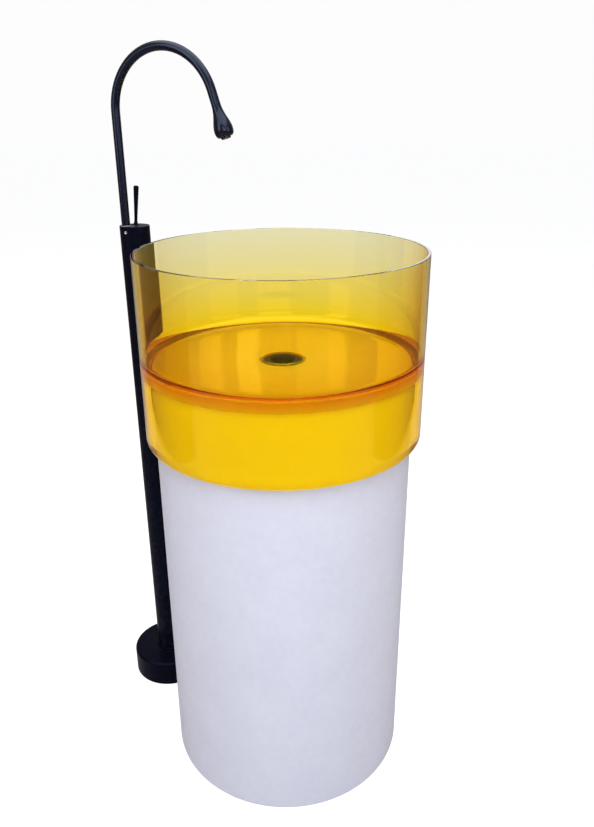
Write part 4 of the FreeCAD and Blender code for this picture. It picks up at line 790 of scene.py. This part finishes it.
def dress(finish: Finish, *nodes: str) -> None:
    """Gives CAD nodes that stay shown a finish."""
    for name in nodes:
        data = frame["nodes"][name].data
        data.materials.clear()
        data.materials.append(finish.material())
        LOG.info("%s: CAD node in %s", name, finish.name)


def corners(node: str) -> tuple[Vector, Vector]:
    """Lowest and highest corner of a CAD node."""
    low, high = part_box(node)
    return Vector(low), Vector(high)


def axis_of(node: str) -> Vector:
    """Middle of a CAD node's box in plan, at height 0."""
    low, high = corners(node)
    return Vector(((low.x + high.x) / 2, (low.y + high.y) / 2, 0.0))


# ---- Basin and pedestal ------------------------------------------------------------------------
@dataclass
class Basin:
    """The resin bowl: clear wall, cast floor and skirt in one continuous casting, in metres."""

    wall: float = 5 * MM
    rim_ease: float = 0.8 * MM
    seam_above_floor: float = 6 * MM
    corner: float = 20 * MM
    fall: float = 2 * MM
    slab: float = 13 * MM
    skirt_wall: float = 14 * MM
    skirt_edge: float = 8 * MM
    seam_depth: float = 0.05 * MM
    seam_half: float = 0.3 * MM
    recess_radius: float = 32.5 * MM
    recess_depth: float = 8 * MM
    recess_ease: float = 1.5 * MM
    hole_radius: float = 22.5 * MM
    boss_radius: float = 36.5 * MM
    boss_depth: float = 7 * MM
    bed_contact: float = 0.1 * MM
    turns: int = 256

    def outline(self) -> Outline:
        """The whole section of the casting."""
        wall_low, wall_high = corners("basin_wall")
        base_low, _ = corners("basin_base")
        outer, rim, seam = wall_high.x, wall_high.z, wall_low.z
        floor = seam - self.seam_above_floor
        inner = outer - self.wall
        flat = inner - self.corner
        under = floor - self.slab
        low = base_low.z
        skirt = outer - self.skirt_wall
        recess_rim = floor - self.fall
        recess_floor = recess_rim - self.recess_depth
        ease = self.rim_ease
        shape = Outline(skirt, low + ease)
        shape.round((skirt + ease, low + ease), skirt + ease, low, 3)
        shape.to(outer - self.skirt_edge, low)
        shape.round((outer - self.skirt_edge, low + self.skirt_edge), outer, low + self.skirt_edge, 10)
        shape.to(outer, seam - self.seam_half)
        shape.to(outer - self.seam_depth, seam)
        shape.to(outer, seam + self.seam_half)
        shape.to(outer, rim - ease)
        shape.round((outer - ease, rim - ease), outer - ease, rim, 4)
        shape.to(inner + ease, rim)
        shape.round((inner + ease, rim - ease), inner, rim - ease, 4)
        shape.to(inner, floor + self.corner)
        shape.round((flat, floor + self.corner), flat, floor, 16)
        edge = self.recess_radius + self.recess_ease
        eased = recess_rim - self.recess_ease
        shape.to(edge, recess_rim).round((edge, eased), self.recess_radius, eased, 5)
        shape.to(self.recess_radius, recess_floor)
        shape.to(self.hole_radius, recess_floor)
        shape.to(self.hole_radius, under - self.boss_depth)
        shape.to(self.boss_radius, under - self.boss_depth)
        shape.to(self.boss_radius, under)
        shape.to(skirt, under)
        return shape

    def build(self) -> None:
        """Makes the casting and the silicone bed that wets its underside."""
        piece("basin_casting", self.outline().spun(self.turns), Body.STAND, RESIN,
              ["basin_wall", "basin_base"])
        low, high = corners("bedding_pad")
        top = high.z + self.bed_contact
        inner = self.boss_radius + self.bed_contact
        bed = Outline(inner, low.z).to(high.x, low.z).to(high.x, top).to(inner, top)
        piece("silicone_bed", bed.spun(self.turns), Body.STAND, SILICONE, ["bedding_pad"])


@dataclass
class Pedestal:
    """The white cylinder that carries the bowl, in metres."""

    wall: float = 10 * MM
    foot_edge: float = 3 * MM
    rebate: float = 2 * MM
    plate: float = 18 * MM
    turns: int = 256

    def build(self) -> None:
        """Makes the shell and dresses what is in it."""
        low, high = corners("pedestal_shell")
        outer, top = high.x, high.z
        inner = outer - self.wall
        edge = self.foot_edge
        shape = Outline(inner, low.z).to(outer - edge, low.z)
        shape.round((outer - edge, low.z + edge), outer, low.z + edge, 6)
        shape.to(outer, top).to(inner + self.rebate, top).to(inner + self.rebate, top - self.plate)
        shape.to(inner, top - self.plate)
        piece("pedestal_cylinder", shape.spun(self.turns), Body.STAND, SOLID_SURFACE,
              ["pedestal_shell"])
        dress(SOLID_SURFACE, "pedestal_top_plate")
        dress(ZINC, "floor_cleats", "cleat_screws")


@dataclass
class Waste:
    """The waste in the bowl's floor, and the bottle trap under it."""

    def build(self) -> None:
        """Dresses the waste and the trap."""
        dress(BLACK_WASTE, "waste_body")
        dress(RUBBER, "waste_upper_seal", "waste_lower_seal", "inlet_washer", "tube_washer", "cup_seal",
              "outlet_washer")
        dress(BRASS, "waste_backnut")
        dress(WHITE_PLASTIC, "trap_inlet_tube", "inlet_nut", "trap_head", "tube_nut", "trap_cup",
              "outlet_nut", "outlet_pipe")


# ---- Tap ---------------------------------------------------------------------------------------
@dataclass
class Column:
    """The tap's upright tube and its foot, in metres."""

    wall: float = 1.8 * MM
    top_edge: float = 0.6 * MM
    stop_hole: float = 2.7 * MM
    cover_wall: float = 2.5 * MM
    cover_edge: float = 5 * MM
    cover_bore: float = 25.35 * MM
    collar_edge: float = 0.9 * MM
    hole_sides: int = 32
    turns: int = 128

    def build(self) -> None:
        """Makes the column, the cover and the collar, and dresses the foot."""
        self.tube()
        self.cover()
        self.collar()
        dress(ZINC, "base_plate", "foot_socket", "foot_screws")
        dress(RUBBER, "base_gasket", "cover_o_ring")

    def spun(self, shape: Outline) -> bmesh.types.BMesh:
        """Spins an outline about the column's axis."""
        return move(shape.spun(self.turns), Matrix.Translation(axis_of("tap_column")))

    def tube(self) -> None:
        """The column, with the hole for the stop screw."""
        low, high = corners("tap_column")
        outer = (high.x - low.x) / 2
        inner = outer - self.wall
        edge = self.top_edge
        shape = Outline(inner, low.z).to(outer, low.z).to(outer, high.z - edge)
        shape.round((outer - edge, high.z - edge), outer - edge, high.z, 3)
        shape.to(inner, high.z)
        place, way = stop_screw_line()
        hole = rod(self.stop_hole, 4 * self.wall, place - way * 3 * self.wall, way, self.hole_sides)
        mesh = carved(self.spun(shape), [hole])
        piece("column_tube", mesh, Body.STAND, BLACK, ["tap_column"])

    def cover(self) -> None:
        """The round cover over the tap's floor fixing."""
        low, high = corners("flange_cover")
        outer = (high.x - low.x) / 2
        edge = self.cover_edge
        inner_edge = edge - self.cover_wall
        shape = Outline(outer - self.cover_wall, low.z).to(outer, low.z).to(outer, high.z - edge)
        shape.round((outer - edge, high.z - edge), outer - edge, high.z, 8)
        shape.to(self.cover_bore, high.z).to(self.cover_bore, high.z - self.cover_wall)
        shape.to(outer - edge, high.z - self.cover_wall)
        shape.round((outer - edge, high.z - edge), outer - edge + inner_edge, high.z - edge, 5)
        piece("floor_cover", self.spun(shape), Body.COVER, BLACK, ["flange_cover"])

    def collar(self) -> None:
        """The thin ring where the cover meets the column."""
        low, high = corners("cover_collar")
        outer = (high.x - low.x) / 2
        edge = self.collar_edge
        shape = Outline(self.cover_bore, low.z).to(outer, low.z).to(outer, high.z - edge)
        shape.round((outer - edge, high.z - edge), outer - edge, high.z, 4)
        shape.to(self.cover_bore, high.z)
        piece("cover_ring", self.spun(shape), Body.COVER, BLACK, ["cover_collar"])


def stop_screw_line() -> tuple[Vector, Vector]:
    """Where the stop screw's axis meets the column's surface, and its direction outwards."""
    low, high = corners("stop_screw")
    middle = (low + high) / 2
    riser = Vector(joint("spout_swivel")["pos_m"])
    way = Vector((middle.x - riser.x, middle.y - riser.y, 0.0)).normalized()
    column_low, column_high = corners("tap_column")
    radius = (column_high.x - column_low.x) / 2
    offset = Vector((riser.x, riser.y, 0.0)) - axis_of("tap_column")
    toward = offset.dot(way)
    reach = -toward + math.sqrt(toward ** 2 - offset.length_squared + radius ** 2)
    return Vector((riser.x, riser.y, middle.z)) + way * reach, way


def joint(name: str) -> dict:
    """The record's joint of a name."""
    return next(entry for entry in frame["joints"] if entry["name"] == name)


@dataclass
class Head:
    """The plate in the column's top and its two bright screws, in metres."""

    plate_ease: float = 0.3 * MM
    lever_hole: float = 7.2 * MM
    riser_hole: float = 5.7 * MM
    screw_radius: float = 2.8 * MM
    screw_key: float = 2.0 * MM
    screw_depth: float = 1.2 * MM
    stop_radius: float = 2.5 * MM
    stop_key: float = 2.5 * MM
    stop_sunk: float = 0.35 * MM
    stop_length: float = 6 * MM
    tip_radius: float = 1.5 * MM
    tip_reach: float = 4.6 * MM
    screw_ease: float = 0.25 * MM
    stop_ease: float = 0.3 * MM
    clearance: float = 0.1 * MM
    turns: int = 128
    lever_hole_sides: int = 64
    screw_sides: int = 32
    small_sides: int = 24

    def build(self) -> None:
        """Makes the plate and screws, and dresses the valve inside."""
        low, high = corners("head_plate")
        radius = (high.x - low.x) / 2
        lever = Vector(joint("lever_tilt")["pos_m"])
        riser = Vector(joint("spout_swivel")["pos_m"])
        below = low.z - MM
        height = high.z - low.z + 2 * MM
        foot = axis_of("tap_column") + UP * low.z
        plate = rod(radius, high.z - low.z, foot, UP, self.turns, self.plate_ease)
        screw_low, screw_high = corners("plate_screw")
        screw = (screw_low + screw_high) / 2
        seat = Vector((screw.x, screw.y, high.z - self.screw_depth))
        cutters = [rod(self.lever_hole, height, Vector((lever.x, lever.y, below)), UP, self.lever_hole_sides),
                   rod(self.riser_hole, height, Vector((riser.x, riser.y, below))),
                   rod(self.screw_radius + self.clearance, height, seat)]
        piece("top_plate", carved(plate, cutters), Body.STAND, BLACK, ["head_plate"])
        self.plate_screw(Vector((screw.x, screw.y, screw_low.z)), high.z)
        self.stop_screw()
        dress(BRASS, "valve_body")

    def plate_screw(self, foot: Vector, top: float) -> None:
        """The small countersunk screw, with a six-sided key hole.

        Args:
            foot: The shank's lower end.
            top: Height of the head's top.
        """
        seat = Vector((foot.x, foot.y, top - self.screw_depth))
        key_seat = Vector((foot.x, foot.y, top - self.screw_depth * 0.8))
        head = rod(self.screw_radius, self.screw_depth, seat, UP, self.screw_sides, self.screw_ease)
        shank = rod(self.screw_radius / 2, seat.z - foot.z, foot, UP, self.small_sides)
        key = hexagon(self.screw_key, self.screw_depth, key_seat)
        mesh = joined([carved(head, [key]), shank])
        piece("plate_fixing_screw", mesh, Body.STAND, SCREW_STEEL, ["plate_screw"])

    def stop_screw(self) -> None:
        """The screw in the column's side that holds the spout, with a six-sided key hole."""
        place, way = stop_screw_line()
        end = place - way * self.stop_sunk
        back = end - way * self.stop_length
        body = rod(self.stop_radius, self.stop_length, back, way, self.screw_sides, self.stop_ease)
        key = hexagon(self.stop_key, self.stop_length / 2, end - way * self.stop_length * 0.4, way)
        riser = Vector(joint("spout_swivel")["pos_m"])
        tip = Vector((riser.x, riser.y, end.z)) + way * self.tip_reach
        point = rod(self.tip_radius, (end - tip).length - self.stop_length, tip, way, self.small_sides)
        mesh = joined([carved(body, [key]), point])
        piece("spout_stop_screw", mesh, Body.STAND, SCREW_STEEL, ["stop_screw"])


@dataclass
class Lever:
    """The joystick lever, in metres."""

    lean: float = math.radians(5.4)
    ball: float = 6.6 * MM
    foot_in_ball: float = 0.93
    length: float = 62 * MM
    foot: float = 3.9 * MM
    waist: float = 2.6 * MM
    waist_height: float = 9 * MM
    top: float = 4.4 * MM
    top_round: float = 2.6 * MM
    turns: int = 48

    def build(self) -> None:
        """Makes the lever and dresses its spindle and the cartridge."""
        pivot = Vector(joint("lever_tilt")["pos_m"])
        foot = self.ball * self.foot_in_ball
        end = self.ball + self.length
        waist = foot + self.waist_height
        shape = Outline(0.0, foot).to(self.foot, foot)

        def flare(share: float) -> tuple[float, float]:
            """The lever's foot, drawn in to its waist."""
            radius = self.waist + (self.foot - self.waist) * (1 - share) ** 3
            return radius, foot + self.waist_height * share
        shape.along(flare, 8)
        shape.to(self.waist + (self.top - self.waist) * 0.5, (waist + end) / 2)
        shape.to(self.top, end - self.top_round)
        flat = self.top - self.top_round
        shape.round((flat, end - self.top_round), flat, end, 6)
        shape.to(0.0, end)
        mesh = shape.spun(self.turns, closed=False)
        move(mesh, Matrix.Translation(pivot) @ Matrix.Rotation(self.lean, 4, "Y"))
        piece("joystick", mesh, Body.LEVER, BLACK, ["lever_handle"])
        dress(BLACK, "lever_spindle")
        dress(GREY_PLASTIC, "lever_turret", "disc_carrier", "cartridge_base", "cartridge_housing")
        dress(ZINC, "lever_axle")
        dress(CERAMIC, "fixed_disc", "moving_disc")
        dress(RUBBER, "cartridge_seal")


@dataclass
class Spout:
    """The gooseneck and its drop-shaped nozzle, in metres."""

    radius: float = 7 * MM
    wall: float = 1.2 * MM
    heading: float = math.radians(-26.0)
    bend: float = 91 * MM
    bend_height: float = 1090.6 * MM
    bend_turn: float = math.radians(161.8)
    drop_length: float = 67 * MM
    drop_radius: float = 14.6 * MM
    drop_widest: float = 57.5 * MM
    drop_mouth: float = 9.9 * MM
    drop_joint: float = 17 * MM
    cavity: float = 8.7 * MM
    cavity_depth: float = 14.5 * MM
    spigot: float = 5.5 * MM
    lip_radius: float = 7.5 * MM
    lip: float = 2.8 * MM
    lip_ease: float = 0.6 * MM
    insert: float = 6.1 * MM
    insert_depth: float = 13 * MM
    clearance: float = 0.1 * MM
    foot_gap: float = 1.1 * MM
    overlap: float = 3 * MM
    swell_power: float = 1.25
    sides: int = 64
    bend_steps: int = 96

    def riser(self) -> Vector:
        """The riser's axis at floor height."""
        place = joint("spout_swivel")["pos_m"]
        return Vector((place[0], place[1], 0.0))

    def level(self) -> Vector:
        """The level direction that the spout points in."""
        return Vector((math.cos(self.heading), math.sin(self.heading), 0.0))

    def bend_end(self) -> tuple[Vector, Vector]:
        """Middle of the tube where the bend ends, and the direction that it leaves in."""
        left = math.pi - self.bend_turn
        place = self.riser() + self.level() * self.bend * (1 + math.cos(left))
        place += UP * (self.bend_height + self.bend * math.sin(left))
        way = self.level() * math.sin(left) - UP * math.cos(left)
        return place, way

    def build(self) -> None:
        """Makes the tube, nozzle and aerator, and dresses the small pieces."""
        self.tube()
        self.nozzle()
        self.aerator()
        dress(GREY_PLASTIC, "glide_ring", "aerator_insert")
        dress(RUBBER, "spout_o_rings", "aerator_washer")

    def tube(self) -> None:
        """The gooseneck: a ring drawn up the riser, spun round the bend and drawn on into the nozzle."""
        low, _ = corners("spout_tube")
        _, column_high = corners("tap_column")
        foot = column_high.z + self.foot_gap
        mesh = bmesh.new()
        base = Matrix.Translation(self.riser() + UP * low.z)
        ring = bmesh.ops.create_circle(mesh, segments=self.sides, radius=self.spigot, matrix=base)["verts"]
        edges = list({edge for vert in ring for edge in vert.link_edges})
        bmesh.ops.contextual_create(mesh, geom=edges)
        edges = self.draw(mesh, edges, UP * (foot - low.z))
        edges = self.flare(mesh, edges, self.radius / self.spigot, self.riser() + UP * foot)
        edges = self.draw(mesh, edges, UP * (self.bend_height - foot))
        centre = self.riser() + self.level() * self.bend + UP * self.bend_height
        spun = bmesh.ops.spin(mesh, geom=edges, cent=centre, axis=UP.cross(self.level()), dvec=(0, 0, 0),
                              angle=self.bend_turn, steps=self.bend_steps, use_duplicate=False)
        edges = [item for item in spun["geom_last"] if isinstance(item, bmesh.types.BMEdge)]
        _, way = self.bend_end()
        edges = self.draw(mesh, edges, way * (self.drop_joint + self.overlap))
        bmesh.ops.contextual_create(mesh, geom=edges)
        piece("gooseneck", mesh, Body.SPOUT, GLOSSY_BLACK, ["spout_tube"])

    @staticmethod
    def extruded(mesh: bmesh.types.BMesh, edges: list[bmesh.types.BMEdge]
                 ) -> tuple[list[bmesh.types.BMVert], list[bmesh.types.BMEdge]]:
        """Extrudes a ring of edges in place and returns the new ring's vertices and edges."""
        made = bmesh.ops.extrude_edge_only(mesh, edges=edges)["geom"]
        verts = [item for item in made if isinstance(item, bmesh.types.BMVert)]
        ring = [item for item in made if isinstance(item, bmesh.types.BMEdge)
                and all(vert in verts for vert in item.verts)]
        return verts, ring

    def draw(self, mesh: bmesh.types.BMesh, edges: list[bmesh.types.BMEdge],
             by: Vector) -> list[bmesh.types.BMEdge]:
        """Extrudes a ring of edges by a vector and returns the new ring."""
        verts, ring = self.extruded(mesh, edges)
        bmesh.ops.translate(mesh, verts=verts, vec=by)
        return ring

    def flare(self, mesh: bmesh.types.BMesh, edges: list[bmesh.types.BMEdge], share: float,
              centre: Vector) -> list[bmesh.types.BMEdge]:
        """Extrudes a ring of edges outwards or inwards about a centre and returns the new ring."""
        verts, ring = self.extruded(mesh, edges)
        bmesh.ops.scale(mesh, vec=(share, share, 1.0), space=Matrix.Translation(-centre), verts=verts)
        return ring

    def nozzle(self) -> None:
        """The drop: it swells smoothly out of the tube and closes round the aerator."""
        place, way = self.bend_end()
        grow = self.drop_radius - self.radius
        span = self.drop_widest - self.drop_joint
        close = self.drop_length - self.drop_widest

        def swell(share: float) -> tuple[float, float]:
            """From the tube to the drop's widest place."""
            amount = math.sin(QUARTER_TURN * share ** self.swell_power) ** 2
            return self.radius + grow * amount, self.drop_joint + span * share

        def closing(share: float) -> tuple[float, float]:
            """From the widest place round to the mouth."""
            angle = QUARTER_TURN * share
            radius = self.drop_mouth + (self.drop_radius - self.drop_mouth) * math.cos(angle)
            return radius, self.drop_widest + close * math.sin(angle)
        bore = self.radius - self.wall / 2
        shape = Outline(bore, self.drop_joint).to(self.radius, self.drop_joint)
        shape.along(swell, 28).along(closing, 12)
        shape.to(self.cavity, self.drop_length).to(self.cavity, self.drop_length - self.cavity_depth)
        shape.to(bore, self.drop_length - self.cavity_depth)
        mesh = move(shape.spun(self.sides), turned_to(way, place))
        piece("drop_spout_end", mesh, Body.SPOUT, GLOSSY_BLACK, ["drop_nozzle"])

    def aerator(self) -> None:
        """The ring that stands out under the drop."""
        place, way = self.bend_end()
        low = self.drop_length - self.insert_depth
        outer = self.cavity - self.clearance
        end = self.drop_length + self.lip
        ease = self.lip_ease
        shape = Outline(self.insert, low).to(outer, low)
        shape.to(outer, self.drop_length).to(self.lip_radius, self.drop_length)
        shape.to(self.lip_radius, end - ease)
        shape.round((self.lip_radius - ease, end - ease), self.lip_radius - ease, end, 3)
        shape.to(self.insert, end)
        mesh = move(shape.spun(self.sides), turned_to(way, place))
        piece("aerator_ring", mesh, Body.SPOUT, GLOSSY_BLACK, ["aerator_housing"])


@dataclass
class Supply:
    """The two braided hoses held inside the column."""

    def build(self) -> None:
        """Dresses the hoses and their fittings."""
        for hose in ("hot_hose", "cold_hose"):
            axis = axis_of(hose)
            dress(SteelBraid("braid_of_" + hose, (axis.x, axis.y)), hose)
        dress(BRASS, "hose_unions", "hose_nuts")
        dress(CRIMP, "hose_ferrules")
        dress(RUBBER, "hose_washers")


# ---- Studio ------------------------------------------------------------------------------------
@dataclass(frozen=True)
class SoftLight:
    """A rectangular soft light that points at a target, in metres and watts."""

    name: str
    place: Place
    target: Place
    size: tuple[float, float]
    power: float

    def build(self) -> None:
        """Hangs the light."""
        data = bpy.data.lights.new(self.name, "AREA")
        data.shape = "RECTANGLE"
        data.size, data.size_y = self.size
        data.energy = self.power
        made = bpy.data.objects.new(self.name, data)
        made.location = self.place
        aim = Vector(self.target) - Vector(self.place)
        made.rotation_euler = aim.to_track_quat("-Z", "Y").to_euler()
        made.visible_camera = False
        bpy.context.scene.collection.objects.link(made)


@dataclass
class Studio:
    """Floor, light and camera."""

    floor_half: float = 30.0
    backdrop: Colour = (0.98, 0.98, 0.98, 1.0)
    sky: Colour = (0.95, 0.97, 1.0, 1.0)
    sky_strength: float = 0.43
    flag_place: Place = (1.45, 0.35, 0.95)
    flag_size: tuple[float, float] = (1.7, 2.0)
    eye: Place = (0.0, -1.1060, 1.08945)
    pitch: float = math.radians(-22.27)
    yaw: float = math.radians(-1.13)
    roll: float = math.radians(-0.37)
    lens: float = 32.1
    sensor: float = 36.0

    def build(self) -> None:
        """Sets up the studio."""
        self.colours()
        self.floor()
        self.flags()
        self.world()
        self.camera()
        for light in self.lights():
            light.build()

    @staticmethod
    def colours() -> None:
        """Shows colours as they are, without a film look."""
        bpy.context.scene.view_settings.view_transform = "Standard"
        bpy.context.scene.view_settings.look = "None"

    @staticmethod
    def sheet(name: str, half: float, place: Matrix, finish: Finish) -> bpy.types.Object:
        """Stands a flat sheet in the studio.

        Args:
            name: The sheet's name.
            half: Half its side before it is placed.
            place: Its stretch, turn and place.
            finish: Its finish.

        Returns:
            The new object.
        """
        mesh = bmesh.new()
        bmesh.ops.create_grid(mesh, x_segments=1, y_segments=1, size=half)
        move(mesh, place)
        data = bpy.data.meshes.new(name)
        mesh.to_mesh(data)
        mesh.free()
        data.materials.append(finish.material())
        made = bpy.data.objects.new(name, data)
        bpy.context.scene.collection.objects.link(made)
        return made

    def floor(self) -> None:
        """A plain pale floor."""
        self.sheet("studio_floor", self.floor_half, Matrix(), StudioFloor("studio_floor_paint"))

    def flags(self) -> None:
        """Dark cloth on each side, out of the camera's sight."""
        width, tall = self.flag_size
        x, y, z = self.flag_place
        upright = Matrix.Rotation(QUARTER_TURN, 4, "Y") @ Matrix.Diagonal((tall, width, 1.0, 1.0))
        for side, name in ((-1.0, "flag_left"), (1.0, "flag_right")):
            place = Matrix.Translation((side * x, y, z)) @ upright
            self.sheet(name, 0.5, place, StudioCloth("studio_flag_cloth")).visible_camera = False

    def world(self) -> None:
        """A white backdrop for the camera and a softer sky for the object."""
        world = bpy.data.worlds.new("studio_sky")
        world.use_nodes = True
        world.node_tree.nodes.clear()
        graph = Graph(world.node_tree)
        sky = graph.node("Background", {"Color": self.sky, "Strength": self.sky_strength})
        backdrop = graph.node("Background", {"Color": self.backdrop, "Strength": 1.0})
        seen = graph.node("LightPath").outputs["Is Camera Ray"]
        mixed = graph.node("MixShader", {0: seen, 1: sky.outputs[0], 2: backdrop.outputs[0]})
        graph.node("OutputWorld", {"Surface": mixed.outputs[0]})
        bpy.context.scene.world = world

    def camera(self) -> None:
        """The camera, a little above the rim and looking down."""
        data = bpy.data.cameras.new("studio_camera")
        data.lens = self.lens
        data.sensor_width = self.sensor
        data.clip_start = 0.01
        made = bpy.data.objects.new("studio_camera", data)
        turn = Matrix.Rotation(self.yaw, 4, "Z") @ Matrix.Rotation(QUARTER_TURN + self.pitch, 4, "X")
        made.matrix_world = Matrix.Translation(self.eye) @ turn @ Matrix.Rotation(self.roll, 4, "Z")
        bpy.context.scene.collection.objects.link(made)
        bpy.context.scene.camera = made

    @staticmethod
    def lights() -> list[SoftLight]:
        """The soft lights."""
        return [
            SoftLight("overhead", (0.0, -0.3, 2.8), (0.0, 0.0, 0.8), (3.0, 3.0), 88.0),
            SoftLight("key_front", (0.2, -1.5, 1.4), (0.0, 0.0, 0.6), (0.9, 0.9), 9.0),
            SoftLight("window_left", (-2.2, -1.6, 1.7), (0.0, 0.0, 0.6), (1.0, 2.0), 26.0),
            SoftLight("window_right", (2.3, -1.5, 1.6), (0.0, 0.0, 0.6), (1.6, 1.8), 21.0),
            SoftLight("strip_back", (0.7, 2.2, 1.8), (0.0, 0.0, 0.8), (0.5, 1.8), 4.0),
            SoftLight("streak_narrow", (-0.16, 2.2, 1.5), (0.0, 0.0, 0.75), (0.10, 0.8), 0.30),
            SoftLight("streak_left", (-0.35, 2.2, 1.5), (0.0, 0.0, 0.75), (0.12, 0.8), 0.20),
            SoftLight("streak_broad", (0.18, 2.2, 1.5), (0.0, 0.0, 0.75), (0.24, 0.8), 0.36),
        ]


def main() -> None:
    """Builds every sub-assembly in order."""
    logging.basicConfig(level=logging.INFO, format="%(name)s %(message)s")
    for part in (Studio(), Basin(), Pedestal(), Waste(), Column(), Head(), Lever(), Spout(), Supply()):
        part.build()
        LOG.info("%s is built", type(part).__name__)


if __name__ == "__main__":
    main()
